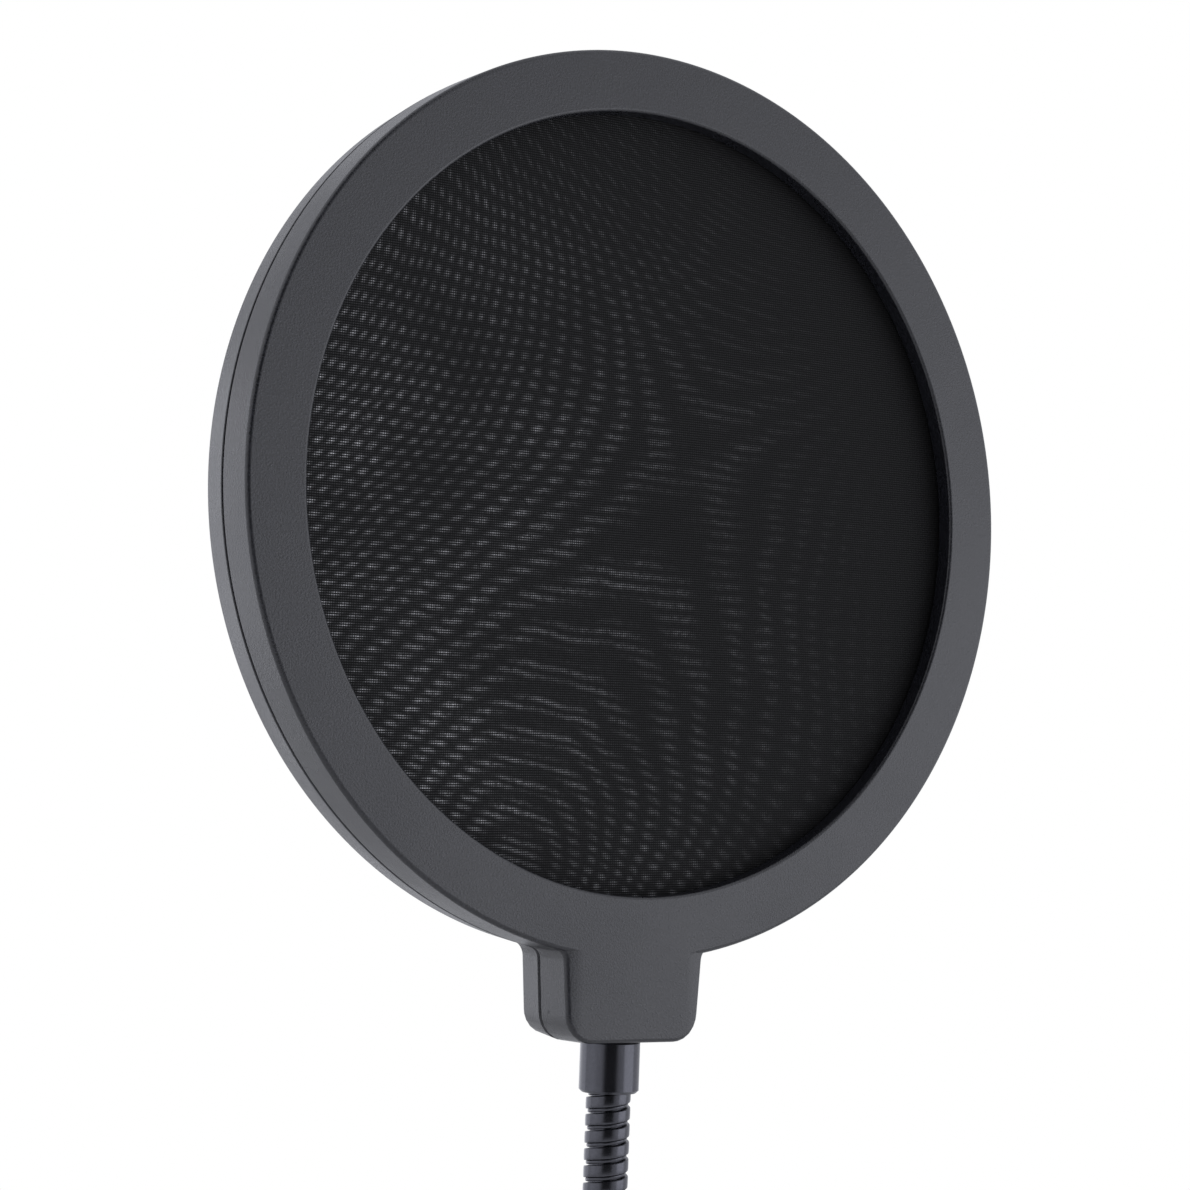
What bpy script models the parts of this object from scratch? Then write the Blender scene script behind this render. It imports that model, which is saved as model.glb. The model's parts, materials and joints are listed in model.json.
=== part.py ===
"""Pop filter for a microphone stand: a twin-screen head on a gooseneck, held by a screw clamp.

The origin is the middle of the fixed jaw's rubber face. +X runs along the clamp screw towards the knob,
+Z is up along the straight gooseneck, and the head's front faces -Y. Lengths are in metres.
"""

import math

import bmesh
import bpy
from mathutils import Euler, Vector

MM = 0.001
GAP = 0.3 * MM

# Head: two half frames with a screen behind each opening
HEAD_RADIUS = 77.5 * MM
OPENING_RADIUS = 66.8 * MM
HEAD_DEPTH = 15.2 * MM
SEAM_DEPTH = 8.45 * MM
FRONT_EDGE = 1.5 * MM
REAR_EDGE = 2.0 * MM
FACE_WALL = 2.2 * MM
FRONT_RIM_WALL = 2.0 * MM
SPIGOT_WALL = 2.0 * MM
SPIGOT_HEIGHT = 2.0 * MM
LIP_WALL = 2.2 * MM
LIP_HEIGHT = 1.1 * MM
SCREEN_THICKNESS = 0.4 * MM
SPACER_WIDTH = 4.0 * MM

# Tab below the head, which holds the gooseneck
TAB_LENGTH = 13.65 * MM
TAB_TOP_HALF = 14.2 * MM
TAB_BOTTOM_HALF = 13.1 * MM
TAB_CORNER = 5.0 * MM
TAB_FILLET = 2.0 * MM
TAB_FILLET_REACH = 5.0 * MM
TAB_SCREW_X = 9.4 * MM
TAB_SCREW_RISE = 7.6 * MM
TAB_SCREW_RADIUS = 1.1 * MM
TAB_SCREW_LENGTH = 9.6 * MM
TAB_SCREW_HEAD = 2.2 * MM
TAB_SCREW_HEAD_HEIGHT = 1.6 * MM

# Gooseneck
NECK_LENGTH = 330.0 * MM
NECK_DEPTH = 8.2 * MM
COIL_RADIUS = 3.8 * MM
COIL_BORE = 1.3 * MM
FERRULE_RADIUS = 5.1 * MM
FERRULE_CHAMFER = 0.45 * MM
UPPER_FERRULE_LENGTH = 8.85 * MM
LOWER_FERRULE_LENGTH = 12.0 * MM
FERRULE_SOCKET = 6.5 * MM
STUD_RADIUS = 3.0 * MM
UPPER_STUD = 11.15 * MM
LOWER_STUD = 8.0 * MM
NECK_NUT_FLATS = 10.0 * MM
NECK_NUT_HEIGHT = 5.0 * MM
NECK_NUT_RISE = 4.15 * MM
JOINT_COUNT = 12
JOINT_PITCH = 25.0 * MM
CUP_RIM_RADIUS = 3.55 * MM

# Swivel between the gooseneck and the clamp
SWIVEL_RADIUS = 12.5 * MM
SWIVEL_THICKNESS = 14.0 * MM
SWIVEL_BOSS_RADIUS = 6.7 * MM
SWIVEL_TOP = 14.0 * MM
BOLT_RADIUS = 2.5 * MM
BOLT_FLATS = 8.0 * MM
BOLT_HEAD_HEIGHT = 2.9 * MM
BOLT_NUT_HEIGHT = 4.0 * MM
WASHER_RADIUS = 8.0 * MM
WASHER_THICKNESS = 0.8 * MM

# Clamp
CLAMP_HEIGHT = 22.0 * MM
CLAMP_EDGE = 1.6 * MM
CLAMP_CORNER = 9.0 * MM
FIXED_ARM = 9.2 * MM
SPINE = 9.0 * MM
THREADED_ARM = 14.0 * MM
THROAT = 20.0 * MM
ARM_REACH = 14.0 * MM
PAD_RUBBER = 2.5 * MM
JAW_PAD_WIDTH = 24.0 * MM
JAW_PAD_HEIGHT = 18.0 * MM
MOST_OPENING = 50.0 * MM
REST_OPENING = 30.0 * MM
PAD_CLEARANCE = 1.2 * MM
PAD_RADIUS = 11.0 * MM
PAD_DISC = 3.5 * MM
PAD_HUB_RADIUS = 6.5 * MM
PAD_HUB = 3.0 * MM
CLIP_RECESS = 2.4 * MM
CLIP_THICKNESS = 0.8 * MM
CLIP_RADIUS = 4.6 * MM
SCREW_RADIUS = 4.0 * MM
SCREW_TIP_RADIUS = 2.5 * MM
SCREW_GROOVE_RADIUS = 1.7 * MM
CLAMP_NUT_FLATS = 13.0 * MM
CLAMP_NUT_HEIGHT = 6.4 * MM
KNOB_STANDOFF = 26.5 * MM
KNOB_RADIUS = 16.0 * MM
KNOB_LOBES = 6
KNOB_LOBE_DEPTH = 1.3 * MM
KNOB_GRIP = 14.0 * MM
KNOB_HUB_RADIUS = 9.0 * MM
KNOB_HUB = 6.0 * MM
KNOB_CAP_RADIUS = 8.0 * MM
KNOB_CAP_HEIGHT = 2.4 * MM

# Fineness
HEAD_STEPS = 72
ROUND_STEPS = 24
LINK_STEPS = 12
HEX_STEPS = 6
ARC_STEPS = 3
KNOB_STEPS_PER_LOBE = 8
BALL_STEPS = 5
MERGE = 0.00001
OVERSHOOT = 1.0 * MM

# Places that follow from the sizes
SPINE_BACK_Y = -THROAT
SPINE_FRONT_Y = SPINE_BACK_Y - SPINE
SWIVEL_BACK_Y = SPINE_FRONT_Y - WASHER_THICKNESS - 2 * GAP
FIXED_ARM_X = -PAD_RUBBER - GAP
PAD_LENGTH = PAD_RUBBER + GAP + PAD_DISC + PAD_HUB
ARM_INNER_X = MOST_OPENING + PAD_LENGTH + PAD_CLEARANCE
ARM_OUTER_X = ARM_INNER_X + THREADED_ARM
NECK_X = (FIXED_ARM_X + ARM_INNER_X) / 2
NECK_Y = SWIVEL_BACK_Y - SWIVEL_THICKNESS / 2
TAB_BASE_Z = SWIVEL_TOP + NECK_LENGTH
TAB_BASE_RADIUS = HEAD_RADIUS + TAB_LENGTH
HEAD_Z = TAB_BASE_Z + TAB_BASE_RADIUS
COIL_LOW_Z = SWIVEL_TOP + LOWER_FERRULE_LENGTH
COIL_HIGH_Z = TAB_BASE_Z - UPPER_FERRULE_LENGTH
FIRST_JOINT_Z = (COIL_LOW_Z + COIL_HIGH_Z - (JOINT_COUNT - 1) * JOINT_PITCH) / 2
SCREEN_FRONT = FACE_WALL + LIP_HEIGHT + GAP
SCREEN_REAR = HEAD_DEPTH - FACE_WALL - LIP_HEIGHT - GAP
HEAD_PLACE = (NECK_X, NECK_Y - NECK_DEPTH, HEAD_Z)
HEAD_REAR_Y = HEAD_PLACE[1] + HEAD_DEPTH
PLATE_X = REST_OPENING + PAD_RUBBER + GAP
KNOB_X = ARM_OUTER_X + KNOB_STANDOFF

# Turns that lay an object's own Z axis along a world axis
ALONG_X = Euler((0, math.pi / 2, 0))
ALONG_MINUS_Y = Euler((math.pi / 2, 0, 0))
UPRIGHT = Euler((0, 0, 0))

COLOURS = {
    "frame_plastic": ((0.062, 0.063, 0.069), 0.55, 0.0),
    "screen_nylon": ((0.010, 0.010, 0.011), 0.75, 0.0),
    "spacer_plastic": ((0.020, 0.020, 0.022), 0.60, 0.0),
    "black_metal": ((0.045, 0.046, 0.050), 0.30, 0.9),
    "clamp_plastic": ((0.025, 0.025, 0.027), 0.50, 0.0),
    "rubber": ((0.012, 0.012, 0.012), 0.85, 0.0),
    "zinc": ((0.50, 0.51, 0.53), 0.35, 1.0),
    "brass": ((0.60, 0.45, 0.20), 0.35, 1.0),
}


def clear_scene():
    for obj in list(bpy.data.objects):
        bpy.data.objects.remove(obj, do_unlink=True)


def new_collection(name):
    collection = bpy.data.collections.new(name)
    bpy.context.scene.collection.children.link(collection)
    return collection


def new_material(name):
    colour, roughness, metallic = COLOURS[name]
    material = bpy.data.materials.new(name)
    material.use_nodes = True
    shader = material.node_tree.nodes["Principled BSDF"]
    shader.inputs["Base Color"].default_value = (*colour, 1.0)
    shader.inputs["Roughness"].default_value = roughness
    shader.inputs["Metallic"].default_value = metallic
    material.diffuse_color = (*colour, 1.0)
    return material


def new_object(name, data, collection, place, turn=UPRIGHT):
    obj = bpy.data.objects.new(name, data)
    obj.location = place
    obj.rotation_euler = turn
    collection.objects.link(obj)
    return obj


def rounded(corners):
    """The outline through corners (x, y, radius), with each corner that has a radius made an arc."""
    points = []
    for index, (x, y, radius) in enumerate(corners):
        corner = Vector((x, y))
        if radius == 0:
            points.append(corner)
            continue
        back = (Vector(corners[index - 1][:2]) - corner).normalized()
        ahead = (Vector(corners[(index + 1) % len(corners)][:2]) - corner).normalized()
        half_angle = back.angle(ahead) / 2
        centre = corner + (back + ahead).normalized() * radius / math.sin(half_angle)
        first = corner + back * radius / math.tan(half_angle) - centre
        last = corner + ahead * radius / math.tan(half_angle) - centre
        for step in range(ARC_STEPS + 1):
            points.append(centre + first.lerp(last, step / ARC_STEPS).normalized() * radius)
    return points


def turned(name, profile, collection, place, turn=UPRIGHT, steps=ROUND_STEPS, closed=False):
    """A solid turned about its own Z axis, from points (radius, z) that run down its outer side."""
    mesh = bpy.data.meshes.new(name)
    edges = [(index, index + 1) for index in range(len(profile) - 1)]
    if closed:
        edges.append((len(profile) - 1, 0))
    mesh.from_pydata([(radius, 0, z) for radius, z in profile], edges, [])
    obj = new_object(name, mesh, collection, place, turn)
    screw = obj.modifiers.new("Turn", "SCREW")
    screw.axis = "Z"
    screw.angle = 2 * math.pi
    screw.steps = steps
    screw.render_steps = steps
    screw.use_merge_vertices = True
    screw.merge_threshold = MERGE
    return obj


def rod(name, radius, low, high, collection, place, turn=UPRIGHT, steps=ROUND_STEPS):
    """A plain round or, with six steps, hexagonal bar between two heights on its own Z axis."""
    profile = [(0, high), (radius, high), (radius, low), (0, low)]
    return turned(name, profile, collection, place, turn, steps)


def tube(name, bore, radius, low, high, collection, place, turn=UPRIGHT, steps=ROUND_STEPS):
    profile = [(radius, high), (radius, low), (bore, low), (bore, high)]
    return turned(name, profile, collection, place, turn, steps, closed=True)


def hex_nut(name, flats, bore, low, high, collection, place, turn=UPRIGHT):
    """A six-sided bar with a round hole down its Z axis."""
    nut = rod(name, hex_radius(flats), low, high, collection, place, turn, HEX_STEPS)
    hole = rod(name + "_hole", bore, low - OVERSHOOT, high + OVERSHOOT, CUTTERS, place, turn, LINK_STEPS)
    cut(nut, hole)
    return nut


def hex_radius(flats):
    """The distance to the corners of a hexagon that is this far across its flats."""
    return flats / 2 / math.cos(math.pi / HEX_STEPS)


def slab(name, outline, thickness, edge, collection, place, turn=UPRIGHT):
    """An outline in the object's XY plane, with half its thickness on each side and round edges."""
    curve = bpy.data.curves.new(name, "CURVE")
    curve.dimensions = "2D"
    curve.fill_mode = "BOTH"
    curve.extrude = thickness / 2 - edge
    curve.bevel_depth = edge
    curve.bevel_resolution = 1
    curve.offset = -edge
    spline = curve.splines.new("POLY")
    spline.points.add(len(outline) - 1)
    for point, (x, y) in zip(spline.points, outline):
        point.co = (x, y, 0, 1)
    spline.use_cyclic_u = True
    shape = new_object(name, curve, collection, (0, 0, 0))
    graph = bpy.context.evaluated_depsgraph_get()
    mesh = bpy.data.meshes.new_from_object(shape.evaluated_get(graph))
    bpy.data.objects.remove(shape)
    weld(mesh)
    return new_object(name, mesh, collection, place, turn)


def weld(mesh):
    cage = bmesh.new()
    cage.from_mesh(mesh)
    bmesh.ops.remove_doubles(cage, verts=cage.verts, dist=MERGE)
    bmesh.ops.recalc_face_normals(cage, faces=cage.faces)
    cage.to_mesh(mesh)
    cage.free()


def keep_half(obj, keep_upper):
    """Keeps what is above or below the object's own XY plane, and closes the cut."""
    side = -1 if keep_upper else 1
    cage = bmesh.new()
    cage.from_mesh(obj.data)
    everything = cage.verts[:] + cage.edges[:] + cage.faces[:]
    cut_result = bmesh.ops.bisect_plane(
        cage, geom=everything, plane_co=(0, 0, 0), plane_no=(0, 0, side), clear_outer=True
    )
    rim = [item for item in cut_result["geom_cut"] if isinstance(item, bmesh.types.BMEdge)]
    bmesh.ops.contextual_create(cage, geom=rim)
    bmesh.ops.recalc_face_normals(cage, faces=cage.faces)
    cage.to_mesh(obj.data)
    cage.free()


def combine(obj, other, operation):
    other.hide_render = True
    other.display_type = "WIRE"
    boolean = obj.modifiers.new(other.name, "BOOLEAN")
    boolean.operation = operation
    boolean.solver = "EXACT"
    boolean.object = other


def cut(obj, cutter):
    combine(obj, cutter, "DIFFERENCE")


def join(obj, addition):
    combine(obj, addition, "UNION")


def box_cutter(name, low, high):
    """A cutting box between two corners in the world."""
    bpy.ops.mesh.primitive_cube_add(size=1)
    box = bpy.context.object
    box.name = name
    box.location = (Vector(low) + Vector(high)) / 2
    box.scale = Vector(high) - Vector(low)
    for collection in list(box.users_collection):
        collection.objects.unlink(box)
    CUTTERS.objects.link(box)
    return box


def put_under(parent, *objects):
    """Hangs objects that are placed in the world on an empty that isn't turned."""
    for obj in objects:
        obj.parent = parent
        obj.location -= parent.location


def pivot(name, place):
    return new_object(name, None, PARTS, place)


def finish(obj, material):
    """Gives a piece its material and smooth shading on its round sides."""
    obj.data.materials.append(bpy.data.materials[material])
    obj.data.shade_smooth()
    return obj


# Head ---------------------------------------------------------------------------------------------

def head_outline():
    """The ring and its tab as one outline, seen from the front, about the middle of the ring."""
    fillet_x = TAB_TOP_HALF + TAB_FILLET_REACH
    meet_y = -math.sqrt(HEAD_RADIUS**2 - TAB_TOP_HALF**2)
    start = math.asin(fillet_x / HEAD_RADIUS)
    sweep = 2 * math.pi - 2 * start
    ring = []
    for step in range(HEAD_STEPS + 1):
        angle = start + sweep * step / HEAD_STEPS
        ring.append((HEAD_RADIUS * math.sin(angle), -HEAD_RADIUS * math.cos(angle), 0))
    tab = [
        (-TAB_TOP_HALF, meet_y, TAB_FILLET),
        (-TAB_BOTTOM_HALF, -TAB_BASE_RADIUS, TAB_CORNER),
        (TAB_BOTTOM_HALF, -TAB_BASE_RADIUS, TAB_CORNER),
        (TAB_TOP_HALF, meet_y, TAB_FILLET),
    ]
    return rounded(ring + tab)


def half_frame(name, seam, face, edge):
    """One half of the head before it is hollowed: its face, its side wall and its half of the tab."""
    thickness = 2 * abs(face - seam)
    place = Vector(HEAD_PLACE) + Vector((0, seam, 0))
    half = slab(name, head_outline(), thickness, edge, PARTS, place, ALONG_MINUS_Y)
    keep_half(half, keep_upper=face < seam)
    return half


def cut_tab(frame, prefix):
    """The nut pocket, the stud's bore and the screw holes that both halves share."""
    nut_half = NECK_NUT_FLATS / 2 + GAP
    nut_corner = hex_radius(NECK_NUT_FLATS) + GAP
    nut_low = TAB_BASE_Z + NECK_NUT_RISE
    low = (NECK_X - nut_corner, NECK_Y - nut_half, nut_low - GAP)
    high = (NECK_X + nut_corner, NECK_Y + nut_half, nut_low + NECK_NUT_HEIGHT + GAP)
    cut(frame, box_cutter(prefix + "_nut_pocket", low, high))
    stud_place = (NECK_X, NECK_Y, TAB_BASE_Z)
    stud_top = UPPER_STUD + GAP
    bore = rod(prefix + "_stud_bore", STUD_RADIUS + GAP, -OVERSHOOT, stud_top, CUTTERS, stud_place)
    cut(frame, bore)
    for side, sign in (("left", -1), ("right", 1)):
        place = (NECK_X + sign * TAB_SCREW_X, HEAD_REAR_Y, TAB_BASE_Z + TAB_SCREW_RISE)
        floor = TAB_SCREW_HEAD_HEIGHT + 2 * GAP
        hole_end = GAP + TAB_SCREW_HEAD_HEIGHT + TAB_SCREW_LENGTH + GAP
        profile = [
            (0, hole_end),
            (TAB_SCREW_RADIUS + GAP, hole_end),
            (TAB_SCREW_RADIUS + GAP, floor),
            (TAB_SCREW_HEAD + GAP, floor),
            (TAB_SCREW_HEAD + GAP, -OVERSHOOT),
            (0, -OVERSHOOT),
        ]
        hole_name = f"{prefix}_{side}_screw_hole"
        cut(frame, turned(hole_name, profile, CUTTERS, place, ALONG_MINUS_Y, LINK_STEPS))


def front_frame():
    frame = half_frame("front_frame", SEAM_DEPTH - GAP / 2, 0, FRONT_EDGE)
    rim_inner = HEAD_RADIUS - FRONT_RIM_WALL
    lip_outer = OPENING_RADIUS + LIP_WALL
    hollow = [
        (0, OVERSHOOT),
        (OPENING_RADIUS, OVERSHOOT),
        (OPENING_RADIUS, -FACE_WALL - LIP_HEIGHT),
        (lip_outer, -FACE_WALL - LIP_HEIGHT),
        (lip_outer, -FACE_WALL),
        (rim_inner, -FACE_WALL),
        (rim_inner, -SEAM_DEPTH - OVERSHOOT),
        (0, -SEAM_DEPTH - OVERSHOOT),
    ]
    cut(frame, turned("front_hollow", hollow, CUTTERS, HEAD_PLACE, ALONG_MINUS_Y, HEAD_STEPS))
    cut_tab(frame, "front")
    return finish(frame, "frame_plastic")


def rear_frame():
    frame = half_frame("rear_frame", SEAM_DEPTH + GAP / 2, HEAD_DEPTH, REAR_EDGE)
    spigot_radius = HEAD_RADIUS - FRONT_RIM_WALL - GAP
    rim_inner = spigot_radius - SPIGOT_WALL
    spigot_top = SPIGOT_HEIGHT - SEAM_DEPTH
    spigot = tube(
        "spigot", rim_inner - OVERSHOOT, spigot_radius, -SEAM_DEPTH - SPIGOT_HEIGHT, spigot_top,
        CUTTERS, HEAD_PLACE, ALONG_MINUS_Y, HEAD_STEPS,
    )
    join(frame, spigot)
    lip_outer = OPENING_RADIUS + LIP_WALL
    floor = FACE_WALL - HEAD_DEPTH
    hollow = [
        (0, spigot_top + OVERSHOOT),
        (rim_inner, spigot_top + OVERSHOOT),
        (rim_inner, floor),
        (lip_outer, floor),
        (lip_outer, floor + LIP_HEIGHT),
        (OPENING_RADIUS, floor + LIP_HEIGHT),
        (OPENING_RADIUS, -HEAD_DEPTH - OVERSHOOT),
        (0, -HEAD_DEPTH - OVERSHOOT),
    ]
    cut(frame, turned("rear_hollow", hollow, CUTTERS, HEAD_PLACE, ALONG_MINUS_Y, HEAD_STEPS))
    cut_tab(frame, "rear")
    return finish(frame, "frame_plastic")


def screens_and_spacer():
    """Two stretched screens and the ring that presses both against the frames' lips."""
    rim_inner = HEAD_RADIUS - FRONT_RIM_WALL - GAP - SPIGOT_WALL
    screen_radius = rim_inner - GAP
    spacer_high = -SCREEN_FRONT - SCREEN_THICKNESS - GAP
    spacer_low = -SCREEN_REAR + SCREEN_THICKNESS + GAP
    front = rod(
        "front_screen", screen_radius, -SCREEN_FRONT - SCREEN_THICKNESS, -SCREEN_FRONT,
        PARTS, HEAD_PLACE, ALONG_MINUS_Y, HEAD_STEPS,
    )
    rear = rod(
        "rear_screen", screen_radius, -SCREEN_REAR, -SCREEN_REAR + SCREEN_THICKNESS,
        PARTS, HEAD_PLACE, ALONG_MINUS_Y, HEAD_STEPS,
    )
    spacer = tube(
        "spacer_ring", screen_radius - SPACER_WIDTH, screen_radius, spacer_low, spacer_high,
        PARTS, HEAD_PLACE, ALONG_MINUS_Y, HEAD_STEPS,
    )
    finish(front, "screen_nylon")
    finish(rear, "screen_nylon")
    finish(spacer, "spacer_plastic")
    return front, rear, spacer


def tab_screw(side, sign):
    place = (NECK_X + sign * TAB_SCREW_X, HEAD_REAR_Y, TAB_BASE_Z + TAB_SCREW_RISE)
    head_high = GAP + TAB_SCREW_HEAD_HEIGHT
    profile = [
        (0, head_high + TAB_SCREW_LENGTH),
        (TAB_SCREW_RADIUS, head_high + TAB_SCREW_LENGTH),
        (TAB_SCREW_RADIUS, head_high),
        (TAB_SCREW_HEAD, head_high),
        (TAB_SCREW_HEAD, GAP),
        (0, GAP),
    ]
    screw = turned(f"tab_screw_{side}", profile, PARTS, place, ALONG_MINUS_Y, LINK_STEPS)
    return finish(screw, "zinc")


def upper_ferrule():
    """The metal end of the gooseneck: a stud in the tab's nut above, a socket for the coil below."""
    profile = [
        (0, UPPER_STUD),
        (STUD_RADIUS, UPPER_STUD),
        (STUD_RADIUS, -GAP),
        (FERRULE_RADIUS, -GAP),
        (FERRULE_RADIUS, -UPPER_FERRULE_LENGTH + FERRULE_CHAMFER),
        (FERRULE_RADIUS - FERRULE_CHAMFER, -UPPER_FERRULE_LENGTH),
        (COIL_RADIUS + GAP, -UPPER_FERRULE_LENGTH),
        (COIL_RADIUS + GAP, -UPPER_FERRULE_LENGTH + FERRULE_SOCKET),
        (0, -UPPER_FERRULE_LENGTH + FERRULE_SOCKET),
    ]
    ferrule = turned("upper_ferrule", profile, PARTS, (NECK_X, NECK_Y, TAB_BASE_Z))
    return finish(ferrule, "black_metal")


def neck_nut():
    place = (NECK_X, NECK_Y, TAB_BASE_Z + NECK_NUT_RISE)
    nut = hex_nut("neck_nut", NECK_NUT_FLATS, STUD_RADIUS + GAP, 0, NECK_NUT_HEIGHT, PARTS, place)
    return finish(nut, "zinc")


def build_head():
    head = pivot("head", (NECK_X, NECK_Y, joint_z(JOINT_COUNT)))
    pieces = [front_frame(), rear_frame(), *screens_and_spacer(), upper_ferrule(), neck_nut()]
    for side, sign in (("left", -1), ("right", 1)):
        pieces.append(tab_screw(side, sign))
    put_under(head, *pieces)


# Gooseneck ----------------------------------------------------------------------------------------

def joint_z(number):
    return FIRST_JOINT_Z + (number - 1) * JOINT_PITCH


def ball_top(height):
    """The round upper end of a link, about the pivot at this height, from the bore to the side."""
    start = math.asin(COIL_BORE / COIL_RADIUS)
    points = []
    for step in range(BALL_STEPS + 1):
        angle = start + (math.pi / 2 - start) * step / BALL_STEPS
        points.append((COIL_RADIUS * math.sin(angle), height + COIL_RADIUS * math.cos(angle)))
    return points


def cup_bottom(height):
    """The hollow lower end of a link, which clears the ball below it, from the rim to the bore."""
    radius = COIL_RADIUS + GAP
    start = math.asin(CUP_RIM_RADIUS / radius)
    end = math.asin(COIL_BORE / radius)
    points = [(COIL_RADIUS, height + radius * math.cos(start))]
    for step in range(BALL_STEPS + 1):
        angle = start + (end - start) * step / BALL_STEPS
        points.append((radius * math.sin(angle), height + radius * math.cos(angle)))
    return points


def neck_link(number):
    """One stretch of the coil. The first and the last are held in the ferrules, the others pivot."""
    base = COIL_LOW_Z - FERRULE_SOCKET + GAP if number == 1 else joint_z(number - 1)
    top = COIL_HIGH_Z + FERRULE_SOCKET - GAP if number == JOINT_COUNT + 1 else joint_z(number)
    if number == JOINT_COUNT + 1:
        upper = [(COIL_BORE, top - base), (COIL_RADIUS, top - base)]
    else:
        upper = ball_top(top - base)
    if number == 1:
        lower = [(COIL_RADIUS, 0), (COIL_BORE, 0)]
    else:
        lower = cup_bottom(0)
    name = f"neck_link_{number:02d}"
    link = turned(name, upper + lower, PARTS, (NECK_X, NECK_Y, base), steps=LINK_STEPS, closed=True)
    return finish(link, "black_metal")


def build_gooseneck():
    for number in range(1, JOINT_COUNT + 2):
        neck_link(number)


# Swivel -------------------------------------------------------------------------------------------

def lower_ferrule():
    profile = [
        (0, LOWER_FERRULE_LENGTH - FERRULE_SOCKET),
        (COIL_RADIUS + GAP, LOWER_FERRULE_LENGTH - FERRULE_SOCKET),
        (COIL_RADIUS + GAP, LOWER_FERRULE_LENGTH),
        (FERRULE_RADIUS - FERRULE_CHAMFER, LOWER_FERRULE_LENGTH),
        (FERRULE_RADIUS, LOWER_FERRULE_LENGTH - FERRULE_CHAMFER),
        (FERRULE_RADIUS, GAP),
        (STUD_RADIUS, GAP),
        (STUD_RADIUS, -LOWER_STUD),
        (0, -LOWER_STUD),
    ]
    ferrule = turned("lower_ferrule", profile, PARTS, (NECK_X, NECK_Y, SWIVEL_TOP))
    return finish(ferrule, "black_metal")


def swivel_block():
    """The round block that turns against the clamp's spine and holds the gooseneck's lower stud."""
    place = (NECK_X, NECK_Y, 0)
    half = SWIVEL_THICKNESS / 2
    disc_section = [
        (0, half, 0),
        (SWIVEL_RADIUS, half, CLAMP_EDGE),
        (SWIVEL_RADIUS, -half, CLAMP_EDGE),
        (0, -half, 0),
    ]
    block = turned("swivel_block", rounded(disc_section), PARTS, place, ALONG_MINUS_Y, 2 * ROUND_STEPS)
    join(block, rod("swivel_boss", SWIVEL_BOSS_RADIUS, 0, SWIVEL_TOP, CUTTERS, place))
    socket_low = SWIVEL_TOP - LOWER_STUD - GAP
    socket_high = SWIVEL_TOP + OVERSHOOT
    cut(block, rod("swivel_socket", STUD_RADIUS + GAP, socket_low, socket_high, CUTTERS, place))
    head_floor = half - BOLT_HEAD_HEIGHT - 2 * GAP
    head_hole = hex_radius(BOLT_FLATS) + 2 * GAP
    bolt_hole = [
        (0, half + OVERSHOOT),
        (head_hole, half + OVERSHOOT),
        (head_hole, head_floor),
        (BOLT_RADIUS + GAP, head_floor),
        (BOLT_RADIUS + GAP, -half - OVERSHOOT),
        (0, -half - OVERSHOOT),
    ]
    cut(block, turned("swivel_bolt_hole", bolt_hole, CUTTERS, place, ALONG_MINUS_Y))
    return finish(block, "clamp_plastic")


def swivel_bolt():
    head_y = SWIVEL_BACK_Y - SWIVEL_THICKNESS + GAP
    shank_low = head_y - SPINE_BACK_Y + 2 * GAP
    shank_high = OVERSHOOT - BOLT_HEAD_HEIGHT
    place = (NECK_X, head_y, 0)
    bolt = rod(
        "swivel_bolt", hex_radius(BOLT_FLATS), -BOLT_HEAD_HEIGHT, 0,
        PARTS, place, ALONG_MINUS_Y, HEX_STEPS,
    )
    join(bolt, rod("swivel_shank", BOLT_RADIUS, shank_low, shank_high, CUTTERS, place, ALONG_MINUS_Y))
    return finish(bolt, "zinc")


def swivel_washer():
    place = (NECK_X, SPINE_FRONT_Y - GAP, 0)
    washer = tube(
        "swivel_washer", BOLT_RADIUS + GAP, WASHER_RADIUS, 0, WASHER_THICKNESS,
        PARTS, place, ALONG_MINUS_Y,
    )
    return finish(washer, "zinc")


def swivel_nut():
    place = (NECK_X, SPINE_BACK_Y - GAP, 0)
    bore = BOLT_RADIUS + GAP
    nut = hex_nut("swivel_nut", BOLT_FLATS, bore, 0, BOLT_NUT_HEIGHT, PARTS, place, ALONG_MINUS_Y)
    return finish(nut, "zinc")


def build_swivel():
    swivel = pivot("swivel", (NECK_X, NECK_Y, 0))
    put_under(swivel, swivel_block(), lower_ferrule())
    swivel_bolt()
    swivel_washer()
    swivel_nut()


# Clamp --------------------------------------------------------------------------------------------

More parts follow.
